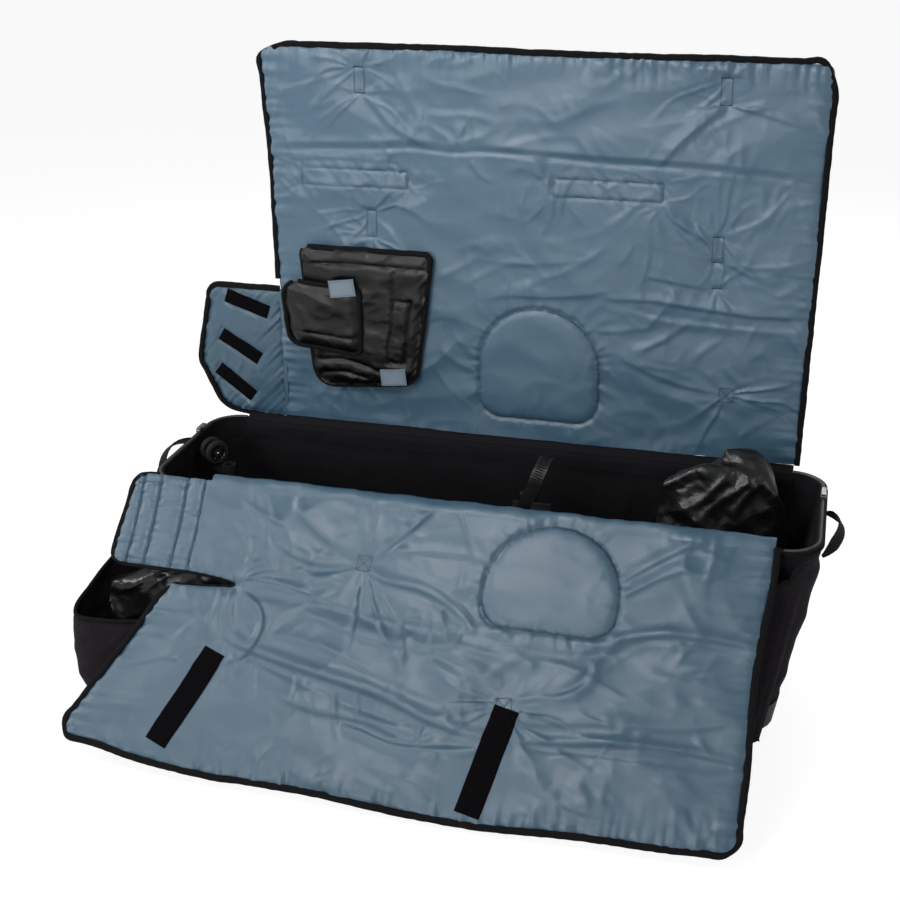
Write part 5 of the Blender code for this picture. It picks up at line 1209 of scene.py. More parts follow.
def strip_piece(name, place, relief, cx, cy, turn, width, length, body, node):
    """A strip of hook or loop tape that follows the lining, a little thicker at its stitched edge."""
    cols, rows = int(width / 0.002) // 4 * 4, int(length / 0.003) // 4 * 4
    a, b = np.meshgrid(np.linspace(-width / 2, width / 2, cols + 1),
                       np.linspace(-length / 2, length / 2, rows + 1))
    c, s = math.cos(turn), math.sin(turn)
    x, y = cx + a * c - b * s, cy + a * s + b * c
    low = relief(x, y)
    low = 0.5 * low + 0.5 * relief(x + 0.004, y + 0.003)
    edge = np.minimum(width / 2 - np.abs(a), length / 2 - np.abs(b))
    high = low + 0.0012 + 0.0014 * (1 - np.exp(-edge / 0.0015)) + 0.0003 * noise(x, y, 0.006, 7)
    item = pad_mesh(name, place, x, y, high, low - 0.0020, M["pile"])
    settle(item, body=body, replaces=(node,))


FRONT_START = 0.004


def edge_reach(x, y, outline):
    """Distance from each grid point to the nearest point of an outline."""
    return np.hypot(x[..., None] - outline[::2, 0], y[..., None] - outline[::2, 1]).min(-1)


def rounded(corners, radii, spacing=0.004):
    """A closed outline of straight sides whose corners are arcs of the given radii."""
    corners = np.asarray(corners, float)
    parts = []
    for i, radius in enumerate(radii):
        here = corners[i]
        if radius <= 0:
            parts.append(here[None])
            continue
        before, after = corners[i - 1] - here, corners[(i + 1) % len(corners)] - here
        before, after = before / np.linalg.norm(before), after / np.linalg.norm(after)
        half = math.acos(np.clip(before @ after, -1, 1)) / 2
        centre = here + (before + after) / np.linalg.norm(before + after) * radius / math.sin(half)
        first = here + before * radius / math.tan(half) - centre
        last = here + after * radius / math.tan(half) - centre
        turn = np.linspace(0, math.atan2(first[0] * last[1] - first[1] * last[0], first @ last), 12)
        c, s = np.cos(turn), np.sin(turn)
        parts.append(centre + np.stack([first[0] * c - first[1] * s, first[0] * s + first[1] * c], 1))
    line = np.vstack(parts)
    return even(np.vstack([line, line[:1]]), spacing)[:-1]


def pillow(name, place, outline, top, low, material, rings=26, power=1.3):
    """A closed pad inside an outline, on rings that shrink to its centre, close together near its edge.

    top(x, y, d) and low(x, y, d) give the heights of its two faces; d is the distance from the outline.
    """
    centre = outline.mean(0)
    share = 1 - (1 - np.linspace(0.0, 1.0, rings + 1)) ** power
    ring = centre + (outline - centre)[None] * share[:, None, None]
    x, y = ring[..., 0], ring[..., 1]
    d = edge_reach(x, y, outline)
    d = np.maximum(d - d[-1].max(), 0.0)
    cols = len(outline)
    upper = place(x, y, top(x, y, d)).reshape(-1, 3)
    lower = place(x, y, low(x, y, d)).reshape(-1, 3)
    base, last = len(upper), rings * cols
    j = np.arange(cols)
    k = (j + 1) % cols
    quads = grid_faces(rings + 1, cols, True)[cols:]
    hub = np.stack([cols + j, cols + k, np.zeros(cols, int)], -1)
    wall = np.stack([last + k, base + last + k, base + last + j, last + j], -1)
    faces = [quads, hub, quads[:, ::-1] + base, hub[:, ::-1] + base, wall]
    uv = np.stack([x, y], -1).reshape(-1, 2)
    return make_piece(name, np.vstack([upper, lower]), faces, material, np.vstack([uv, uv]))


def shell_piece(name, grid, thick, material, uv, side=1.0):
    """A sheet with thickness: a grid of points, the same grid moved back along its normals, and its edges."""
    rows, cols = grid.shape[:2]
    normal = np.cross(np.gradient(grid, axis=0), np.gradient(grid, axis=1))
    normal /= np.linalg.norm(normal, axis=-1, keepdims=True) + 1e-12
    back = grid - normal * thick * side
    base = rows * cols
    quads = grid_faces(rows, cols)
    faces = [quads, quads[:, ::-1] + base]
    index = np.arange(base).reshape(rows, cols)
    for line, turn in ((index[0], False), (index[-1], True), (index[:, 0], True), (index[:, -1], False)):
        wall = np.stack([line[:-1], line[1:], line[1:] + base, line[:-1] + base], -1)
        faces.append(wall[:, ::-1] if turn else wall)
    points = np.vstack([grid.reshape(-1, 3), back.reshape(-1, 3)])
    return make_piece(name, points, faces, material, np.vstack([uv.reshape(-1, 2)] * 2))


def grid_lengths(grid):
    """UV in metres: running length along the middle column and the middle row."""
    rows, cols = grid.shape[:2]
    down = run_length(grid[:, cols // 2])
    along = run_length(grid[rows // 2])
    return np.stack(np.broadcast_arrays(along[None], down[:, None]), -1)


# Wings
BACK_WING = rounded([(0.0050, 0.271), (-0.149, 0.271), (-0.184, 0.110), (-0.1385, 0.012), (-0.0575, 0.0010),
                     (0.0050, 0.0010)], [0, 0.020, 0.030, 0.050, 0.030, 0]) + np.array([BACK_LEFT, 0.0])
LOOP_STRIPS = (("loop_strip_top", -0.073, 0.238, -19.0), ("loop_strip_middle", -0.094, 0.146, -31.0),
               ("loop_strip_bottom", -0.110, 0.066, -37.0))
back_wing_bend = ("back_panel", "back_wing", (BACK_LEFT, HINGE_Y, 0.5), (BACK_LEFT - 0.016, HINGE_Y, 0.5))
front_wing_bend = ("front_upper", "front_wing", (FRONT_LEFT, -0.2, 0.3), (FRONT_LEFT - 0.016, -0.2, 0.3))


def wing_relief(x, up):
    """Height of the lining on the back wing: soft swell, strips sewn down, gathers at the tape."""
    h = 0.0055 + broad_waves(x, up, 203, 0.0030) + fine_folds(x, up, 240, 0.0010)
    for k, (_, sx, su, angle) in enumerate(LOOP_STRIPS):
        c, s = math.cos(math.radians(angle)), math.sin(math.radians(angle))
        dx, du = x - BACK_LEFT - sx, up - su
        a, b = np.abs(dx * c + du * s) - 0.047, np.abs(-dx * s + du * c) - 0.014
        d = np.hypot(np.maximum(a, 0), np.maximum(b, 0))
        h = h - 0.0020 * np.exp(-(d / 0.006) ** 2) + pucker(d, x + up, 250 + k, 0.0016, 0.012, 0.012)
    seam = np.abs(x - BACK_LEFT)
    return h - 0.0020 * np.exp(-(seam / 0.006) ** 2)


def build_back_wing():
    """The left wing of the back panel: lining, outer cloth, tape and its three loop strips."""
    top = (lambda x, y, d: wing_relief(x, y)
           + np.where(x > BACK_LEFT - 0.004, 0.0, sewn_edge(d) + pucker(d, x - y, 261)))
    low = lambda x, y, d: -0.0060 - 0.0016 * layered(x, y, 0.09, 262, 3)
    # The back wing's lining uses the darker satin copy. This is painted shade, because the wing is turned
    # from the light.
    item = pillow("back_wing_lining", back_place, BACK_WING, top, lambda x, y, d: np.full_like(x, -0.0028),
                  M["front"], 40, 1.15)
    settle(item, bend=back_wing_bend, replaces=("back_wing",))
    item = pillow("back_wing_cloth", back_place, BACK_WING, lambda x, y, d: np.full_like(x, -0.0030), low,
                  M["shell"], 20)
    settle(item, bend=back_wing_bend)
    first = int(np.argmin(np.hypot(BACK_WING[:, 0] - BACK_LEFT, BACK_WING[:, 1] - 0.271)))
    line = np.roll(BACK_WING, -first, 0)
    line = line[(line[:, 0] < BACK_LEFT + 0.001)]
    line = line[::3]
    line = smooth_line(line, 0.004)
    edge_tape("back_wing_tape", back_place, line, 265, bend=back_wing_bend, replaces=("back_wing_binding",))
    for name, x, up, angle in LOOP_STRIPS:
        strip_piece(name.replace("loop", "sewn_loop"), back_place, wing_relief, BACK_LEFT + x, up,
                    math.radians(angle), 0.094, 0.028, "back_wing", name)


WING_RISE = -0.008
WING_SEAMS = (-0.615, -0.580, -0.527, -0.492)


def front_wing_edge(s):
    """Left edge of the front wing, which leans out a little towards the slit."""
    return -0.631 - 0.010 * (s - 0.004) / 0.161


def front_wing_relief(x, s):
    """Sewn channels: rounded between the seams, with fine gathers across them."""
    d = np.min([np.abs(x - seam - 0.004 * np.sin(s / 0.06)) for seam in WING_SEAMS], axis=0)
    gather = noise(x * 0.22 + s * 0.25, s, 0.0100, 271) + 0.7 * noise(x * 0.30 - s * 0.2, s, 0.019, 272)
    h = 0.0014 + 0.0058 * (1 - np.exp(-(d / 0.0042) ** 1.0)) + 0.0022 * gather * np.exp(-d / 0.014)
    h = h + 0.0012 * broad_waves(x, s, 273, 1.0)
    left, low, high = x - front_wing_edge(s), 0.165 - s, s - WING_RISE
    for distance, along, seed in ((left, s, 274), (low, x, 275), (high, x, 276)):
        h = h + sewn_edge(distance, 0.003) + pucker(distance, along, seed, 0.0018, 0.010, 0.011)
    join = ease(FRONT_LEFT - 0.011, FRONT_LEFT - 0.002, x)
    return h + join * (front_relief(x, s) - 0.0003 - h)


def build_front_wing():
    """The quilted wing left of the front panel."""
    u, v = np.meshgrid(np.linspace(0, 1, 120 + 1), np.linspace(0, 1, 112 + 1))
    s = WING_RISE + v * (0.165 - WING_RISE)
    x = front_wing_edge(s) * (1 - u) + (FRONT_LEFT + 0.004) * u
    radius = 0.022
    a = np.clip((front_wing_edge(s) + radius - x) / radius, 0, 1)
    b_low, b_high = (np.clip((s - 0.165 + radius) / radius, 0, 1),
                     np.clip((WING_RISE + radius - s) / radius, 0, 1))
    b = np.maximum(b_low, b_high)
    x = x - radius * a * (np.sqrt(1 - b * b / 2) - 1)
    pull = radius * (np.sqrt(1 - a * a / 2) - 1)
    s = s + b_low * pull - b_high * pull
    top = front_wing_relief(x, s)
    # The front wing's lining uses the darker satin copy, which is painted shade.
    item = pad_mesh("front_wing_lining", front_place, x, s, top, np.full_like(x, -0.0028), M["front"])
    settle(item, bend=front_wing_bend, replaces=("front_wing",))
    cx, cs = x[::2, ::2], s[::2, ::2]
    cloth = pad_mesh("front_wing_cloth", front_place, cx, cs,
                     -0.0062 - 0.0014 * layered(cx, cs, 0.08, 281, 3),
                     np.full_like(cx, -0.0030), M["shell"], block=2)
    settle(cloth, bend=front_wing_bend)
    line = smooth_line([(-0.590, -0.0085), (-0.606, -0.0078), (-0.6190, -0.0030), (-0.6270, 0.0070),
                        (-0.6310, 0.0220),
                        (-0.6350, 0.080), (-0.6385, 0.130), (-0.6380, 0.150), (-0.6310, 0.1610),
                        (-0.618, 0.1655), (-0.58, 0.1665), (-0.53, 0.1660), (-0.486, 0.1655)], 0.004)
    slim = 1.0 - 0.45 * ease(0.150, 0.166, line[:, 1]) - 0.5 * ease(0.000, -0.0084, line[:, 1])
    edge_tape("front_wing_tape", front_place, line[::-1], 285, bend=front_wing_bend,
              replaces=("front_wing_binding",), slim=slim[::-1])
    runs = []
    for seam in WING_SEAMS:
        across = np.linspace(-0.003, 0.158, 40)
        runs.append(surface_run(front_place, front_wing_relief,
                                np.stack([seam + 0.004 * np.sin(across / 0.06), across], 1)))
    for s0, x0, x1 in ((0.008, -0.613, -0.582), (0.155, -0.615, -0.583)):
        runs.append(surface_run(front_place, front_wing_relief, [(x0, s0), (x1, s0)]))
    item = threads("front_wing_stitches", runs, M["thread"])
    settle(item, body="front_wing")


# Hinge cloths
def build_hinge_cloths():
    """Lining that rolls over the tub's front rim into the tub, and the strip behind the back panel's foot."""
    x = np.linspace(FRONT_LEFT, FRONT_RIGHT, 253)
    profile = [(-0.1839, 0.3872), (-0.1800, 0.3925), (-0.1745, 0.3975), (-0.166, 0.4015), (-0.157, 0.4010),
               (-0.151, 0.3945), (-0.1495, 0.382), (-0.1515, 0.365), (-0.1545, 0.350)]
    line = smooth_line(profile, 0.003)
    grid = np.zeros((len(line), len(x), 3))
    far = np.linspace(0, 1, len(line))[:, None]
    rise = (0.0022 * noise(x[None] + 0 * far, far * 0.08, 0.060, 301)
            + 0.0012 * noise(x[None] + 0 * far, far * 0.05, 0.018, 302))
    rise = rise * ease(0.0, 0.25, far)
    join = front_place(x, np.full_like(x, FRONT_START), front_relief(x, np.full_like(x, FRONT_START)))
    grid[..., 0] = x[None] + 0.012 * ease(0.38, 0.53, x)[None]
    grid[..., 1] = line[:, :1] + (join[None, :, 1] - line[0, 0]) * (1 - ease(0.0, 0.35, far))
    grid[..., 2] = line[:, 1:] + rise + (join[None, :, 2] - line[0, 1] - 0.0002) * (1 - ease(0.0, 0.35, far))
    # The hinge roll uses the darker satin copy, which is painted shade.
    item = shell_piece("front_hinge_roll", grid, 0.0030, M["front"], grid_lengths(grid), side=fold_side(grid))
    settle(item, bend=("tub", "front_upper", (0, -0.158, 0.39), (0, -0.181, 0.39)))
    x = np.linspace(BACK_LEFT - 0.084, BACK_RIGHT - 0.002, 222)
    line = smooth_line([(0.1712, 0.3915), (0.1690, 0.3850), (0.1640, 0.3790), (0.1590, 0.3740),
                        (0.1563, 0.3650),
                        (0.1560, 0.3450)], 0.003)
    grid = np.zeros((len(line), len(x), 3))
    far = np.linspace(0, 1, len(line))[:, None]
    grid[..., 0] = x[None]
    grid[..., 1] = line[:, :1] - 0.0010 * noise(x[None] + 0 * far, far * 0.05, 0.030, 305) - 0.0008
    lower = 0.0055 * ease(BACK_LEFT + 0.004, BACK_LEFT - 0.008, x)[None] * (1 - ease(0.0, 0.3, far))
    grid[..., 2] = line[:, 1:] - lower
    item = shell_piece("back_hinge_strip", grid, 0.0016, M["shell"], grid_lengths(grid), side=fold_side(grid))
    settle(item, bend=("tub", "back_panel", (0, 0.158, 0.38), (0, 0.1705, 0.388)))


def fold_side(grid):
    """+1 or -1, so that a sheet's thickness goes away from the inside of the tub's rim."""
    normal = np.cross(np.gradient(grid, axis=0), np.gradient(grid, axis=1))
    return 1.0 if normal[len(grid) // 2].mean(0)[2] > 0 else -1.0


# Tub
def tub_ring(spacing):
    """The tub's plan outline: places, outward ways and each place's share of the right end's lean."""
    sx, sy = HALF_LENGTH - CORNER, HALF_WIDTH - CORNER
    parts = []

    def straight(x0, y0, x1, y1, nx, ny, s0, s1):
        count = max(2, int(round(math.hypot(x1 - x0, y1 - y0) / spacing)))
        t = np.arange(count) / count
        parts.append(np.stack([x0 + (x1 - x0) * t, y0 + (y1 - y0) * t, nx + 0 * t, ny + 0 * t,
                               s0 + (s1 - s0) * t], 1))

    def corner(cx, cy, start, share):
        count = max(6, int(round(CORNER * np.pi / 2 / spacing)))
        a = np.radians(start + 90 * np.arange(count) / count)
        parts.append(np.stack([cx + CORNER * np.cos(a), cy + CORNER * np.sin(a), np.cos(a), np.sin(a),
                               share + 0 * a], 1))

    straight(-sx, -HALF_WIDTH, sx, -HALF_WIDTH, 0, -1, 0, 1)
    corner(sx, -sy, -90, 1)
    straight(HALF_LENGTH, -sy, HALF_LENGTH, sy, 1, 0, 1, 1)
    corner(sx, sy, 0, 1)
    straight(sx, HALF_WIDTH, -sx, HALF_WIDTH, 0, 1, 1, 0)
    corner(-sx, sy, 90, 0)
    straight(-HALF_LENGTH, sy, -HALF_LENGTH, -sy, -1, 0, 0, 0)
    corner(-sx, -sy, 180, 0)
    return np.vstack(parts)


def tub_place(ring, offset, z):
    """Points at an offset outside the plan outline, at height z; the right end leans in at its foot."""
    x, y, nx, ny, share = (ring[:, k] for k in range(5))
    z = np.broadcast_to(z, np.broadcast_shapes(np.shape(offset), np.shape(z), x.shape))
    px = x + nx * offset - FOOT_INSET * (1 - z / RIM) * share
    return np.stack([px, y + ny * offset + 0 * z, z], -1)


def build_tub():
    """Padded walls as one closed shell: outer cloth, rounded rim and black inner lining."""
    ring = tub_ring(0.0052)
    length = run_length(ring[:, :2])
    out_z = np.concatenate([np.linspace(WALL_FOOT, 0.060, 8)[:-1], np.linspace(0.060, ROLL_FOOT, 60)])
    turn = np.linspace(0, np.pi / 2, 5)[1:]
    in_z = np.concatenate([np.linspace(ROLL_FOOT, 0.035, 52), [WALL_FOOT]])
    end = ease(0.35, 0.75, np.abs(ring[:, 2]))[None]
    zz = out_z[:, None]
    along = length[None]
    swell = ease(0.064, 0.12, zz) * ease(ROLL_FOOT, 0.350, zz)
    quiet = 1 - end * ease(0.320, 0.338, zz) * 0.97
    relief = (0.0022 + 0.0028 * layered(along, zz * 1.3, 0.15, 311, 3)
              + 0.0014 * ridges(along * 0.5, zz, 0.07, 315, 3.0))
    relief = relief + end * (0.0045 * crease_band(along, zz, 317) + 0.002)
    outer = swell * quiet * relief - 0.0012 * np.exp(-((zz - 0.3655) / 0.0022) ** 2)
    rows = [tub_place(ring, row, z) for row, z in zip(outer, out_z)]
    flat = np.ones(len(ring))
    rows += [tub_place(ring, flat * -ROLL * (1 - math.cos(a)), ROLL_FOOT + ROLL * math.sin(a)) for a in turn]
    rows += [tub_place(ring, flat * (-WALL + ROLL * (1 - math.sin(a))), ROLL_FOOT + ROLL * math.cos(a))
             for a in turn[:-1]]
    zz = in_z[:, None]
    swell = ease(0.372, 0.350, zz) * ease(0.016, 0.045, zz)
    inner = -WALL - swell * (0.0010 + 0.0016 * layered(along, zz * 1.2, 0.13, 321, 3)
                             + 0.0012 * ridges(along, zz * 0.6, 0.08, 325, 3.5))
    inner = inner + 0.0010 * np.exp(-((zz - 0.3300) / 0.002) ** 2)
    rows += [tub_place(ring, row, z) for row, z in zip(inner, in_z)]
    grid = np.stack(rows)
    count, cols = grid.shape[:2]
    faces = grid_faces(count, cols, True)
    j = np.arange(cols)
    k = (j + 1) % cols
    last = (count - 1) * cols
    faces = np.vstack([faces, np.stack([last + j, last + k, k, j], -1)])
    down = run_length(grid[:, 5])
    uv = np.stack(np.broadcast_arrays(length[None], down[:, None]), -1).reshape(-1, 2)
    item = make_piece("tub_walls", grid.reshape(-1, 3), [faces], M["heather"], uv)
    item.data.materials.append(M["shell"])
    inside = len(out_z) + 4
    layer = np.zeros(len(item.data.polygons), np.int32)
    layer[inside * cols:] = 1
    item.data.polygons.foreach_set("material_index", layer)
    settle(item, body="tub", replaces=("wall_front", "wall_back", "wall_left", "wall_right"))

    keep = (np.abs(ring[:, 0]) > HALF_LENGTH - CORNER - 0.004)
    runs = []
    for z, offset in ((0.3585, 0.0002), (0.3300, -WALL + 0.0004)):
        for sign in (-1, 1):
            part = ring[keep & (np.sign(ring[:, 0]) == sign)]
            order = np.argsort(np.arctan2(part[:, 1], sign * part[:, 0] - 0.45))
            part = part[order]
            path = tub_place(part, np.full(len(part), offset), z)
            way = np.stack([part[:, 2], part[:, 3], 0 * part[:, 2]], 1)
            runs.append((path, way if offset > -0.005 else -way))
    item = threads("tub_stitches", runs, M["coil"], length=0.0030, pitch=0.0050, size=0.0005)
    settle(item, body="tub")
    for name, sign in (("left", -1), ("right", 1)):
        part = ring[(np.sign(ring[:, 0]) == sign) & keep]
        part = part[np.argsort(np.arctan2(part[:, 1], sign * part[:, 0] - 0.45))]
        path = tub_place(part, np.full(len(part), 0.0006), 0.3725)
        up = np.tile([0.0, 0.0, 1.0], (len(path), 1))
        item = sweep("rim_piping_" + name, path, oval(0.0055, 0.0055, 10, 1.0), up, M["tape"])
        settle(item, body="tub")
        path = tub_place(part, np.full(len(part), -WALL / 2), RIM + 0.0024)
        item = threads("zip_teeth_" + name, [(path, np.array([0.0, 0.0, 1.0]))], M["coil"], length=0.0050,
                       pitch=0.0017, size=0.0007, across=True)
        settle(item, body="tub")
        path = tub_place(part, np.full(len(part), -WALL / 2), RIM + 0.0001)
        tape_up = np.tile([0.0, 0.0, 1.0], (len(path), 1))
        item = sweep("zip_tape_" + name, path, oval(0.0135, 0.0010, 8, 0.5), tape_up, M["tape"])
        settle(item, body="tub")


def crease_band(along, z, seed):
    """Long slanting folds of the end walls' loose cloth."""
    return noise(along + z * 0.6, z * 0.35, 0.060, seed)


# Pockets and bags
def panel_under(depth):
    """Height of the front panel's underside at a distance in front of its hinge."""
    slope = math.radians(48.4)
    return HINGE_Z - depth * math.tan(slope) - 0.006 / math.cos(slope)


def pocket_lean(x, z):
    """How far a pocket's right end leans out at height z, like the tub's end."""
    return np.clip((x - HALF_LENGTH + 0.270) / 0.200, 0.0, 1.0) * FOOT_INSET * z / RIM


def pouch(name, rim, bulge, seed, node):
    """A pouch sewn to the tub: its section runs out from the wall's foot and up to the rim, and sags.

    rim holds plan points of the outer skin with the rim's height at each.
    """
    plan, tops = rim[:, :2], rim[:, 2]
    box = np.clip(plan, (-HALF_LENGTH + CORNER, -HALF_WIDTH + CORNER),
                  (HALF_LENGTH - CORNER, HALF_WIDTH - CORNER))
    way = plan - box
    reach = np.linalg.norm(way, axis=1)[:, None]
    root = box + way / reach * (CORNER + 0.0078)
    floor = np.linspace(0.0, 1.0, 12)[:, None]
    count = 62
    v = np.linspace(0.0, 1.0, count)[:, None]
    normal = np.stack([np.gradient(plan[:, 1]), -np.gradient(plan[:, 0])], 1)
    normal = unit(normal)
    out = normal * np.sign((normal * way).sum(1))[:, None]
    far = run_length(plan)
    depth = np.maximum(reach[:, 0] - CORNER - 0.0078, 0.0005)
    soft = np.minimum(0.020, depth * 0.6)
    rows = []
    for f in floor[:-1, 0]:
        z = 0.0085 - 0.0045 * math.sin(f * np.pi / 2)
        rows.append((root + (plan - root) * f, np.full(len(plan), z), f))
    height = 0.0040 + (tops - 0.0040)[None] * v
    sag = np.sin(np.pi * v ** 0.8) * bulge * np.minimum(1.0, depth / 0.03)[None]
    a, b = far[None] + 0 * v, height
    fold = (0.0045 * noise(a + b * 0.5, b * 0.45, 0.085, seed)
            + 0.0028 * noise(a - b * 0.4, b * 0.6, 0.045, seed + 1))
    fold = (fold + 0.0018 * ridges(a + b * 0.9, b * 0.25, 0.060, seed + 2, 3.0)
            + 0.0012 * layered(a, b, 0.03, seed + 5, 2))
    relief = sag + fold * np.minimum(1.0, depth / 0.03)[None] * ease(0.0, 0.15,
                                                                     v) * (1 - 0.75 * ease(0.93, 1.0, v))
    foot = np.exp(-np.maximum(height - 0.004, 0.0) / (soft[None] * 0.5))
    grid = np.zeros((11 + count, len(plan), 3))
    for i, (p, z, f) in enumerate(rows):
        grid[i, :, :2], grid[i, :, 2] = p - out * (soft * 0.35 * f ** 2)[:, None], z
    grid[11:, :, :2] = plan[None] + out[None] * (relief - soft[None] * 0.35 * foot)[..., None]
    grid[11:, :, 2] = height
    grid[..., 0] += pocket_lean(plan[None, :, 0], grid[..., 2])
    uv = grid_lengths(grid)
    item = shell_piece(name, grid, 0.0030, M["heather"], uv, side=-pouch_side(grid, out))
    settle(item, body="tub", replaces=(node,))
    return grid, out


def pouch_side(grid, out):
    """+1 where a pouch's grid normals point inwards, else -1."""
    normal = np.cross(np.gradient(grid, axis=0), np.gradient(grid, axis=1))[-20].mean(0)
    return -1.0 if normal[:2] @ out.mean(0) > 0 else 1.0


def front_rim_line():
    """Plan points and rim heights of the front pocket, kept under the front panel."""
    root = 0.1785
    points = [(HALF_LENGTH + x, -root - out, z)
              for x, out, z in ((-0.075, 0.0, 0.366), (-0.088, 0.014, 0.364), (-0.130, 0.0245, 0.325))]
    points += [(x, -root - out, z) for x, out, z in ((0.250, 0.0495, 0.290), (-0.050, 0.0835, 0.250),
                                                     (-0.350, 0.1235, 0.205))]
    points += [(-HALF_LENGTH + x, -root - out, z)
               for x, out, z in ((0.060, 0.1565, 0.170), (-0.052, 0.1645, 0.163), (-0.092, 0.1415, 0.163),
                                 (-0.089, 0.0865, 0.185), (-0.072, 0.0295, 0.215), (-0.045, -0.0105, 0.245))]
    points.append((-0.6285, -0.150, 0.260))
    line = smooth_line(points, 0.005)
    under = panel_under(-line[:, 1] - HINGE_Y) - 0.016
    covered = line[:, 0] + pocket_lean(line[:, 0], line[:, 2]) < FRONT_RIGHT + 0.045
    line[:, 2] = np.where(covered, np.minimum(line[:, 2], under), line[:, 2])
    step = np.convolve(np.r_[[line[0, 2]] * 4, line[:, 2], [line[-1, 2]] * 4], np.ones(9) / 9, "valid")
    line[:, 2] = np.minimum(line[:, 2], step)
    return line


def build_pockets():
    """The front and back wheel pockets with their bound rims."""
    grid, out = pouch("front_pocket_cloth", front_rim_line(), 0.007, 331, "front_pocket")
    rim = grid[-1] - np.c_[out, np.zeros(len(out))] * 0.0015 + np.array([0, 0, 0.0030])
    up = np.c_[out, np.zeros(len(out))]
    item = sweep("front_pocket_rim", rim[3:-3], oval(0.0085, 0.0072, 10, 0.85), up[3:-3], M["tape"])
    settle(item, body="tub", replaces=("pocket_piping",))
    deep = 0.1785 + 0.075
    points = [(-0.560, 0.1785), (-0.550, 0.2085), (-0.480, deep), (0.0, deep + 0.010), (0.400, deep),
              (0.480, 0.2085),
              (0.490, 0.1785)]
    line = smooth_line([(x, y, 0.290) for x, y in points], 0.006)
    line[:, 2] += 0.004 * np.sin(line[:, 0] / 0.11) - 0.004
    grid, out = pouch("back_pocket_cloth", line, 0.006, 341, "back_pocket")
    rim = grid[-1] + np.array([0, 0, 0.0010])
    up = np.c_[out, np.zeros(len(out))]
    item = sweep("back_pocket_rim", rim[3:-3], oval(0.0085, 0.0065, 10, 0.85), up[3:-3], M["tape"])
    settle(item, body="tub")


def tri_noise(points, normal, maker):
    """A flat pattern laid on a body from three sides, weighed by how far each part faces that side."""
    weight = np.abs(normal) ** 3
    weight = weight / (weight.sum(-1, keepdims=True) + 1e-9)
    x, y, z = points[..., 0], points[..., 1], points[..., 2]
    return (weight[..., 0] * maker(y, z) + weight[..., 1] * maker(x + 1.3, z)
            + weight[..., 2] * maker(x - 2.1, y))


def ring_normals(grid):
    """Unit normals of a grid whose columns close, pointing away from its middle."""
    around = np.roll(grid, -1, 1) - np.roll(grid, 1, 1)
    normal = np.cross(np.gradient(grid, axis=0), around)
    normal /= np.linalg.norm(normal, axis=-1, keepdims=True) + 1e-9
    middle = grid.mean((0, 1))
    return normal * np.sign(((grid - middle) * normal).sum(-1).mean())


def closed_tube(name, grid, material):
    """A tube of rings with a flat fan at both ends."""
    rows, cols = grid.shape[:2]
    points = np.vstack([grid.reshape(-1, 3), grid[0].mean(0), grid[-1].mean(0)])
    j = np.arange(cols)
    k = (j + 1) % cols
    first, last = rows * cols, rows * cols + 1
    low = np.stack([np.full(cols, first), k, j], -1)
    high = np.stack([np.full(cols, last), (rows - 1) * cols + j, (rows - 1) * cols + k], -1)
    uv = grid_lengths(grid).reshape(-1, 2)
    return make_piece(name, points, [grid_faces(rows, cols, True), low, high], material,
                      np.vstack([uv, uv[:1], uv[-1:]]), angle=70)


def crumple(grid, seed, size):
    """Push a bag's skin in and out: deep folds, sharper creases on them, small crinkles on those."""
    normal = ring_normals(grid)
    crest = lambda a, b, cell, k: (1 - np.minimum(1.0, np.abs(noise(a, b, cell, k)))) ** 3
    deep = tri_noise(grid, normal, lambda a, b: noise(a + b * 0.4, b * 0.7, 0.13, seed))
    fold = tri_noise(grid, normal, lambda a, b: crest(a + b * 0.55, b * 0.38, 0.080, seed + 5))
    more = tri_noise(grid, normal, lambda a, b: crest(a * 0.8 - b * 0.7, b * 0.5, 0.050, seed + 7))
    crinkle = tri_noise(grid, normal, lambda a, b: crest(a + 0.3 * b, b, 0.026, seed + 9))
    push = size * (0.9 * deep + 0.9 * (fold - 0.35) + 0.45 * (more - 0.35) + 0.10 * (crinkle - 0.35))
    return grid + normal * push[..., None]


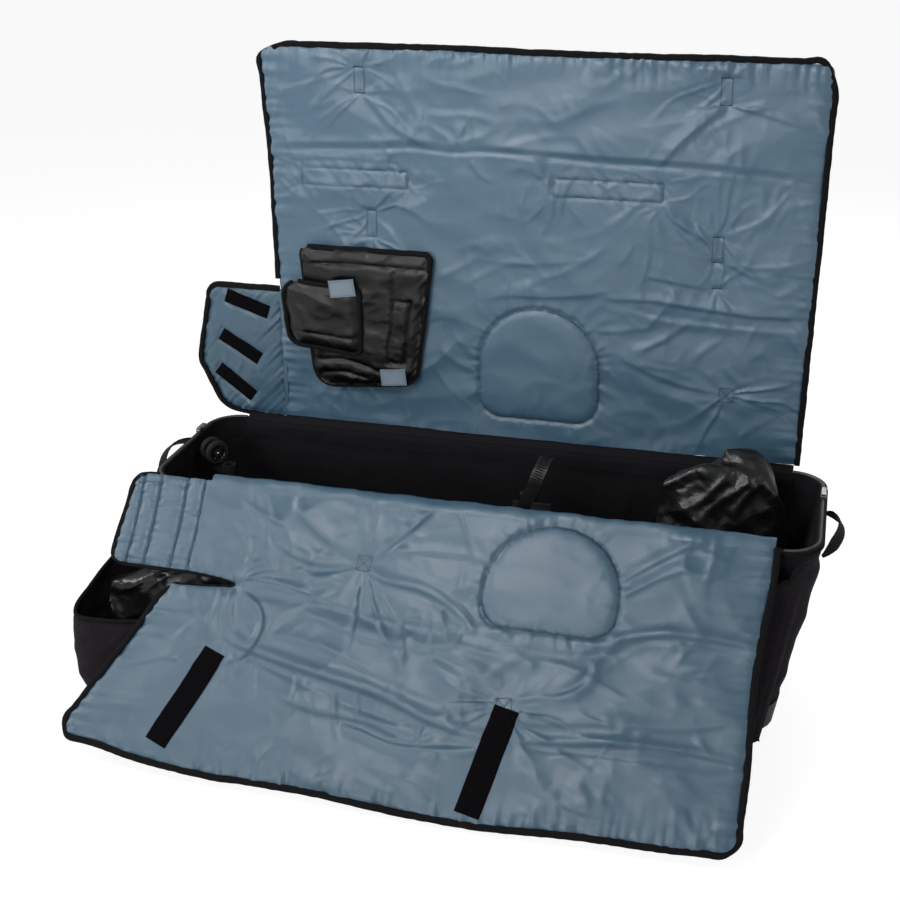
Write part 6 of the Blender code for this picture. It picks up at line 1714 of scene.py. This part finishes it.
def swell(item, voxel, frames, cap, pressure, growth, limit=None):
    """Cloth run on an even remesh of a bag: its skin grows and is pressed, so that it folds by itself.

    A point moves by cap * tanh(distance / cap) of what the run gives; limit keeps points where they may be.
    """
    view = bpy.context.view_layer
    remesh = item.modifiers.new("even", "REMESH")
    remesh.mode = "VOXEL"
    remesh.voxel_size = voxel
    view.update()
    old = item.data
    item.data = bpy.data.meshes.new_from_object(item.evaluated_get(bpy.context.evaluated_depsgraph_get()))
    item.modifiers.clear()
    if not item.data.materials:
        item.data.materials.append(old.materials[0])
    count = len(item.data.vertices)
    start = np.empty(count * 3)
    item.data.vertices.foreach_get("co", start)
    start = start.reshape(-1, 3)
    cloth = item.modifiers.new("cloth", "CLOTH")
    cloth.settings.quality = 4
    cloth.settings.mass = 0.12
    cloth.settings.tension_stiffness = 18.0
    cloth.settings.compression_stiffness = 18.0
    cloth.settings.shear_stiffness = 6.0
    cloth.settings.bending_stiffness = 0.25
    cloth.settings.use_pressure = True
    cloth.settings.uniform_pressure_force = pressure
    cloth.settings.shrink_min = -growth
    cloth.settings.effector_weights.gravity = 0.0
    cloth.point_cache.frame_end = frames
    scene = bpy.context.scene
    for frame in range(1, frames + 1):
        scene.frame_set(frame)
    done = item.evaluated_get(bpy.context.evaluated_depsgraph_get()).data
    end = np.empty(count * 3)
    done.vertices.foreach_get("co", end)
    item.modifiers.clear()
    scene.frame_set(1)
    move = end.reshape(-1, 3) - start
    far = np.linalg.norm(move, axis=1)[:, None] + 1e-9
    place = start + move / far * cap * np.tanh(far / cap)
    if limit is not None:
        place = limit(place)
    item.data.vertices.foreach_set("co", place.ravel())
    smooth = item.modifiers.new("finer", "SUBSURF")
    smooth.levels = 1
    smooth.render_levels = 1
    view.update()
    coarse = item.data
    item.data = bpy.data.meshes.new_from_object(item.evaluated_get(bpy.context.evaluated_depsgraph_get()))
    item.modifiers.clear()
    bpy.data.meshes.remove(coarse)
    item.data.polygons.foreach_set("use_smooth", np.ones(len(item.data.polygons), bool))
    item.data.update()
    return item


def wheel_bag_limit(points):
    """Keeps the wheel bag outside the wall, under the front panel and above the pocket's floor."""
    points[..., 1] = np.clip(points[..., 1], -0.335, -0.1830)
    limit = panel_under(-points[..., 1] - HINGE_Y) - 0.022
    over = points[..., 2] - limit
    points[..., 2] = np.where(over > 0, limit - 0.002 * (1 - np.exp(-over / 0.004)), points[..., 2])
    points[..., 2] = np.maximum(points[..., 2], 0.0088)
    return points


def build_bags():
    """The cover slumped at the right of the tub and the wheel bag folded in the front pocket."""
    t = np.linspace(0, 1, 120)[:, None]
    angle = np.linspace(0, 2 * np.pi, 220, endpoint=False)[None]
    c, s = np.cos(angle), np.sin(angle)
    slump = 0.42 * np.maximum(0.0, t - 0.62) ** 1.2
    grow = 0.80 + 0.20 * np.sin(np.pi * np.minimum(1.0, t * 1.3)) - slump
    ripple = 1.0 + 0.035 * np.sin(3 * angle + 4.0 * t)
    cap = np.sqrt(np.clip(1 - ((t - 0.88) / 0.12).clip(0, 1) ** 2.2, 0.0, 1.0)) * 0.93 + 0.07
    x = 0.412 + np.sign(c) * np.abs(c) ** 0.75 * 0.127 * grow * ripple * cap + 0.018 * np.sin(2.2 * t)
    y = 0.060 + np.sign(s) * np.abs(s) ** 0.75 * 0.067 * grow * ripple * cap
    lift = 0.028 + 0.395 * t + 0.012 * np.sin(2 * angle) * t
    tip = ease(0.5, 1.0, t) * 0.020 * np.cos(angle) - 0.012 * ease(0.9, 1.0, t) * (1 - cap)
    grid = crumple(np.stack([x, y + 0 * angle, lift + tip], -1), 351, 0.0090)
    grid[..., 2] = np.maximum(grid[..., 2], 0.0238)
    item = closed_tube("slumped_cover", grid, M["nylon"])
    swell(item, 0.0055, 16, 0.016, -1.5, 0.18)
    settle(item, body="tub", replaces=("cover_bag",))

    t = np.linspace(0, 1, 130)[:, None]
    near, low, high = HALF_WIDTH + 0.0035 + 0.012, 0.0100, 0.255
    px = -0.666 + 0.492 * t
    far = HALF_WIDTH + 0.122 - 0.055 * t
    full = np.maximum(0.25, np.sin(np.pi * (0.06 + 0.88 * t)) ** 0.35)
    top = np.minimum(high, panel_under(near + 0.02 - HINGE_Y) - 0.02)
    y = -np.sign(c) * np.abs(c) ** 0.6 * (far - near) / 2 * full - (near + far) / 2
    z = np.sign(s) * np.abs(s) ** 0.6 * (top - low) / 2 * full + (low + top) / 2
    grid = crumple(np.stack([px + 0 * angle, y, z], -1), 361, 0.0075)
    grid = wheel_bag_limit(grid)
    item = closed_tube("folded_wheel_bag", grid, M["nylon"])
    swell(item, 0.0065, 16, 0.012, -1.0, 0.16, wheel_bag_limit)
    settle(item, body="tub", replaces=("front_wheel_bag",))


# Frame wrap
WRAP_Y, WRAP_Z = 0.1585, 0.755
WRAP_BODY = rounded([(-0.412, 0.0), (-0.392, -0.285), (-0.185, -0.265), (-0.150, 0.0)],
                    [0.012, 0.040, 0.040, 0.012])
WRAP_LAPEL = rounded([(-0.452, -0.065), (-0.442, -0.195), (-0.292, -0.210), (-0.292, -0.075)],
                     [0.030, 0.030, 0.015, 0.015])
WRAP_SEAMS = (
    ((-0.400, -0.030), (-0.300, -0.026), (-0.162, -0.030)),
    ((-0.222, -0.036), (-0.228, -0.120), (-0.236, -0.205), (-0.234, -0.222)),
    ((-0.190, -0.095), (-0.197, -0.160), (-0.205, -0.222)),
    ((-0.222, -0.095), (-0.190, -0.095)),
    ((-0.234, -0.222), (-0.204, -0.222)),
    ((-0.385, -0.228), (-0.335, -0.224), (-0.290, -0.232), (-0.250, -0.246)),
    ((-0.375, -0.255), (-0.330, -0.250), (-0.285, -0.258)),
)


def wrap_place(x, z, height):
    """A place on the frame wrap, which hangs against the back panel; z is measured from its top edge."""
    x, z, height = np.broadcast_arrays(x, z, height)
    return np.stack([x, WRAP_Y - height, WRAP_Z + z], -1)


def quilt_seams(x, z, seams, seed, depth=0.0042):
    """Padding drawn down along sewn lines, with gathers beside them."""
    h = 0.0
    for k, seam in enumerate(seams):
        line = smooth_line(seam, 0.008) if len(seam) > 2 else even(seam, 0.008)
        d = np.abs(line_distance(x, z, line)[0])
        h = (h - depth * np.exp(-(d / 0.0042) ** 1.4)
             + 0.0011 * noise(x + k, z, 0.010, seed + k) * np.exp(-d / 0.009))
    return h


def wrap_relief(x, z, d):
    """Front of the frame wrap: swollen nylon over padding, its sewn lines and long soft folds."""
    h = 0.0042 + 0.0062 * (1 - np.exp(-(d / 0.012) ** 1.2))
    h = h + quilt_seams(x, z, WRAP_SEAMS, 371) + facets(x * 2.4, z * 2.2, 381, 0.0062)
    h = h + 0.0010 * ridges(x * 0.4, z - x * 0.2, 0.050, 383, 3.0)
    return h + pucker(d, x * 1.1 - z, 387, 0.0016, 0.010, 0.010)


def lapel_relief(x, z, d):
    """Front of the lapel: a softly folded flap over the wrap."""
    h = 0.0125 + 0.0080 * (1 - np.exp(-(d / 0.010) ** 1.2)) + facets(x * 2.4 + z, z * 2.2, 391, 0.0060)
    h = h + 0.0010 * ridges(x * 0.8 + z * 0.6, z * 0.5, 0.050, 393, 3.0)
    return h + quilt_seams(x, z, (((-0.430, -0.165), (-0.370, -0.172), (-0.305, -0.176)),), 395, 0.0030)


def strap_patch(name, place, cx, cy, turn, base, node, body):
    """A flat strap end, slightly bowed, with a line of stitches round it."""
    cols, rows = 24, 16
    a, b = np.meshgrid(np.linspace(-0.026, 0.026, cols + 1), np.linspace(-0.017, 0.017, rows + 1))
    c, s = math.cos(turn), math.sin(turn)
    x, y = cx + a * c - b * s, cy + a * s + b * c
    high = base + 0.0018 + 0.0012 * np.cos(a / 0.026 * 1.3) + 0.0004 * noise(x, y, 0.02, 401)
    item = pad_mesh(name, place, x, y, high, high - 0.0022, M["strap"])
    settle(item, body=body, replaces=(node,))
    at = lambda p, q: (cx + p * c - q * s, cy + p * s + q * c)
    box = [at(-0.0235, -0.0145), at(0.0235, -0.0145), at(0.0235, 0.0145), at(-0.0235, 0.0145),
           at(-0.0235, -0.0145)]
    line = even(box, 0.003)
    path = place(line[:, 0], line[:, 1], base + 0.0034)
    return path, place(line[:, 0], line[:, 1], base + 0.0134) - path


def build_wrap():
    """The padded frame wrap with its lapel and two straps."""
    item = pillow("frame_wrap_quilt", wrap_place, WRAP_BODY, wrap_relief,
                  lambda x, z,
                  d: -0.0042 - 0.0042 * (1 - np.exp(-d / 0.012)) - 0.0012 * noise(x, z, 0.05, 405),
                  M["quilt"], 60, 1.12)
    settle(item, body="frame_wrap", replaces=("frame_wrap",))
    closed = np.vstack([WRAP_BODY, WRAP_BODY[:1]])[::-1][::3]
    line = smooth_line(closed, 0.004)
    edge_tape("wrap_tape", wrap_place, line[:-1], 411, body="frame_wrap", width=0.0105, thick=0.0095,
              height=0.0,
              shift=-0.0005)
    item = pillow("wrap_lapel_quilt", wrap_place, WRAP_LAPEL, lapel_relief,
                  lambda x, z, d: 0.0108 + 0 * x, M["quilt"], 36, 1.15)
    settle(item, body="frame_wrap", replaces=("wrap_lapel",))
    closed = np.vstack([WRAP_LAPEL, WRAP_LAPEL[:1]])[::-1][::3]
    line = smooth_line(closed, 0.004)
    edge_tape("lapel_tape", wrap_place, line[:-1], 415, body="frame_wrap", width=0.0085, thick=0.0075,
              height=0.0135,
              shift=-0.0005)
    runs = [strap_patch("wrap_strap_high", wrap_place, -0.324, -0.072, math.radians(8), 0.0215,
                        "wrap_strap_upper",
                        "frame_wrap"),
            strap_patch("wrap_strap_low", wrap_place, -0.227, -0.251, math.radians(6), 0.0105,
                        "wrap_strap_lower",
                        "frame_wrap")]
    item = threads("strap_stitches", runs, M["thread"], length=0.0022, pitch=0.0032, size=0.0004)
    settle(item, body="frame_wrap")
    runs = []
    for seam in WRAP_SEAMS:
        line = smooth_line(seam, 0.003) if len(seam) > 2 else even(seam, 0.003)
        d = np.full(len(line), 0.05)
        path = wrap_place(line[:, 0], line[:, 1], wrap_relief(line[:, 0], line[:, 1], d) + 0.0004)
        runs.append((path, np.array([0.0, -1.0, 0.0])))
    item = threads("wrap_stitches", runs, M["dark_thread"], length=0.0026, pitch=0.0036, size=0.0005)
    settle(item, body="frame_wrap")


# Handles, wheels, strap
def build_handles():
    """Webbing handles: two bowed loops on the ends and two flat loops on the back."""
    for name, side, face, middle, lift in (("right", 1, 0.61959, -0.024, 30.0),
                                           ("left", -1, -0.62385, -0.010, 50.0)):
        t = np.linspace(0, 1, 60)
        bow = np.sin(np.pi * t) ** 0.75
        local = np.stack([0.034 * bow, (t - 0.5) * 0.170, 0 * t], 1)
        turn = Matrix.Rotation(0.0 if side > 0 else math.pi, 4, "Z") @ Matrix.Rotation(math.radians(-lift),
                                                                                       4, "Y")
        spin = np.array(turn.to_3x3())
        path = local @ spin.T + np.array([face, middle, 0.350])
        up = spin @ np.array([0.0, 0.0, 1.0])
        tall = 0.003 + 0.009 * np.minimum(1.0, bow * 1.6)
        grid_section = oval(2.0, 2.0, 16, 0.55)
        tangent = unit(np.gradient(path, axis=0))
        across = np.cross(tangent, up)
        points = (path[:, None] + across[:, None] * (grid_section[None, :, :1] * 0.0016)
                  + up[None, None] * (grid_section[None, :, 1:] * tall[:, None, None]))
        rows, cols = 60, 16
        far = run_length(path)
        uv = np.stack(np.broadcast_arrays(far[:, None], (grid_section[:, 1] * 0.012)[None]), -1).reshape(-1,
                                                                                                         2)
        faces = [grid_faces(rows, cols, True), np.arange(cols)[None, ::-1],
                 np.arange((rows - 1) * cols, rows * cols)[None]]
        item = make_piece("webbing_handle_" + name, points.reshape(-1, 3), faces, M["webbing"], uv)
        settle(item, body="handle_" + name, replaces=("handle_" + name,))
        runs = []
        for row in (-0.0085, 0.0085):
            middle_part = slice(8, 52)
            for face_side in (-1, 1):
                line = path[middle_part] + up * row * 0.98 + across[middle_part] * face_side * 0.0017
                runs.append((line, across[middle_part] * face_side))
        item = threads("handle_stitches_" + name, runs, M["coil"], length=0.0026, pitch=0.0042, size=0.0004)
        settle(item, body="handle_" + name)
    for name, x in (("left", -0.305), ("right", 0.181)):
        half, drop = 0.083, 0.058
        line = np.vstack([[(-half, 0.0)], arc_points(-half + 0.023, -drop + 0.023, 0.023, 180, 270),
                          arc_points(half - 0.023, -drop + 0.023, 0.023, 270, 360), [(half, 0.0)]])
        line = even(line, 0.004)
        path = np.stack([x + line[:, 0], np.full(len(line), 0.1845), 0.886 + line[:, 1]], 1)
        wave = 0.0006 * np.sin(np.linspace(0, 9, len(line)))
        path[:, 1] += wave + 0.0004
        item = sweep("webbing_top_handle_" + name, path, oval(0.024, 0.0028, 16, 0.5),
                     np.array([0.0, 1.0, 0.0]),
                     M["webbing"])
        settle(item, body="top_handle_" + name, replaces=("top_handle_" + name,))
        runs = []
        for row in (-0.0085, 0.0085):
            way = unit(np.gradient(path, axis=0))
            side_way = np.cross(way, (0.0, 1.0, 0.0))
            runs.append((path + side_way * row + np.array([0, 0.0016, 0]), np.array([0.0, 1.0, 0.0])))
        item = threads("top_handle_stitches_" + name, runs, M["coil"], length=0.0026, pitch=0.0042,
                       size=0.0004)
        settle(item, body="top_handle_" + name)


def arc_points(cx, cy, radius, start, end, count=10):
    """Points of an arc, angles in degrees."""
    a = np.radians(np.linspace(start, end, count))
    return np.stack([cx + radius * np.cos(a), cy + radius * np.sin(a)], 1)


def wheel_face(name, centre, axis, radius, depth, spokes, material, body):
    """A wheel's hub face: a ring and a cap joined by spokes, as one height over a disc."""
    axis = np.asarray(axis, float) / np.linalg.norm(axis)
    side = np.cross(axis, (0.0, 0.0, 1.0))
    side /= np.linalg.norm(side)
    up = np.cross(side, axis)
    rings, cols = 26, 120
    r = np.linspace(0.0, 1.0, rings)[:, None]
    a = np.linspace(0, 2 * np.pi, cols, endpoint=False)[None]
    spoke = ease(0.25, 0.45, np.cos(spokes * a / 2) ** 2)
    cap = ease(0.36, 0.30, r)
    rim = ease(0.80, 0.86, r)
    height = np.maximum(np.maximum(cap, rim), spoke * 0.8) * depth + 0 * a
    height = height + depth * 0.35 * ease(0.18, 0.12, r) - depth * 0.3 * ease(0.07, 0.05, r)
    height = np.where(r > 0.985, 0.0, height)
    flat = radius * r
    points = (np.asarray(centre) + (flat * np.cos(a))[..., None] * side + (flat * np.sin(a))[..., None] * up
              + height[..., None] * axis)
    back = (np.asarray(centre) + (flat * np.cos(a))[..., None] * side + (flat * np.sin(a))[..., None] * up
            - axis * 0.0006)
    base = rings * cols
    j = np.arange(cols)
    k = (j + 1) % cols
    quads = grid_faces(rings, cols, True)[cols:]
    hub = np.stack([np.zeros(cols, int), cols + j, cols + k], -1)
    last = (rings - 1) * cols
    wall = np.stack([last + j, last + k, base + last + k, base + last + j], -1)
    disc = np.r_[base + last + j][None, ::-1]
    item = make_piece(name, np.vstack([points.reshape(-1, 3), back.reshape(-1, 3)]),
                      [quads[:, ::-1], hub[:, ::-1], wall[:, ::-1], disc[:, ::-1]], material, angle=40)
    settle(item, body=body)


def build_wheels():
    """Hub faces of the caster's and the rollers' wheels."""
    yaw = math.radians(-38.0)
    axis = np.array([math.cos(yaw), math.sin(yaw), 0.0])
    centre = np.array([-0.569, 0.026, 0.360])
    for name, side in (("outer", 1), ("inner", -1)):
        face = centre + axis * side * (0.012 + 0.0025)
        wheel_face("caster_hub_" + name, face, axis * side, 0.0165, 0.0032, 5, M["gloss"], "caster_" + name)
        back = centre + axis * side * (0.012 - 0.0025)
        wheel_face("caster_back_" + name, back, -axis * side, 0.0165, 0.0026, 5, M["gloss"], "caster_" + name)
    for name, y in (("front", -0.080), ("back", 0.080)):
        for label, side in (("a", -1), ("b", 1)):
            place = np.array([-0.674, y + side * 0.0081, 0.0405])
            wheel_face("roller_hub_" + name + "_" + label, place, (0, side, 0), 0.0290, 0.0042, 6,
                       M["plastic"],
                       "roller_" + name)


def build_strap():
    """Ribs across the outside of the ladder strap."""
    side = 0.032 + 0.0005 + 0.0015
    base, saddle, rise = 0.288, 0.322, 0.428 - side
    points = [(-side, base), (-side, saddle), (-side, rise)]
    points += [(side * math.cos(a), rise + side * math.sin(a)) for a in np.radians(np.linspace(165, 15, 16))]
    points += [(side, rise), (side, saddle + 0.020)]
    line = even(points, 0.002)
    way = unit(np.gradient(line, axis=0))
    out = np.stack([0 * way[:, 0], -way[:, 1], way[:, 0]], 1)
    shift = np.maximum(0.0, line[:, 1] - saddle) * 0.38 - 0.010
    path = np.stack([0.082 + shift, line[:, 0], line[:, 1]], 1) + out * 0.0016
    item = threads("ladder_ribs", [(path, out)], M["webbing"], length=0.020, pitch=0.0050, size=0.0011,
                   across=True)
    settle(item, body="tub")


def dress_frame():
    """Better materials on the rigid pieces that stay as they are."""
    finishes = {"plastic": ("base_tray", "wheel_carrier", "tow_tube", "caster_bracket", "ratchet_body",
                            "ratchet_lever",
                            "skid_frame"),
                "rubber": ("roller_wheel_front", "roller_wheel_back", "caster_wheel_outer",
                           "caster_wheel_inner",
                           "cradle_saddle"),
                "metal": ("wheel_axle", "caster_axle", "cradle_post", "zip_slider_left", "zip_slider_right",
                          "zip_pull_left", "zip_pull_right"),
                "board": ("base_board",), "strap_plastic": ("ladder_strap",),
                "coil": ("zip_coil_left", "zip_coil_right")}
    for key, names in finishes.items():
        for name in names:
            item = bpy.data.objects[name]
            for slot in item.material_slots:
                slot.material = M["plastic" if key == "strap_plastic" else key]


build_back()
build_front()
build_back_wing()
build_front_wing()
build_hinge_cloths()
build_tub()
build_pockets()
build_bags()
build_wrap()
build_handles()
build_wheels()
build_strap()
dress_frame()
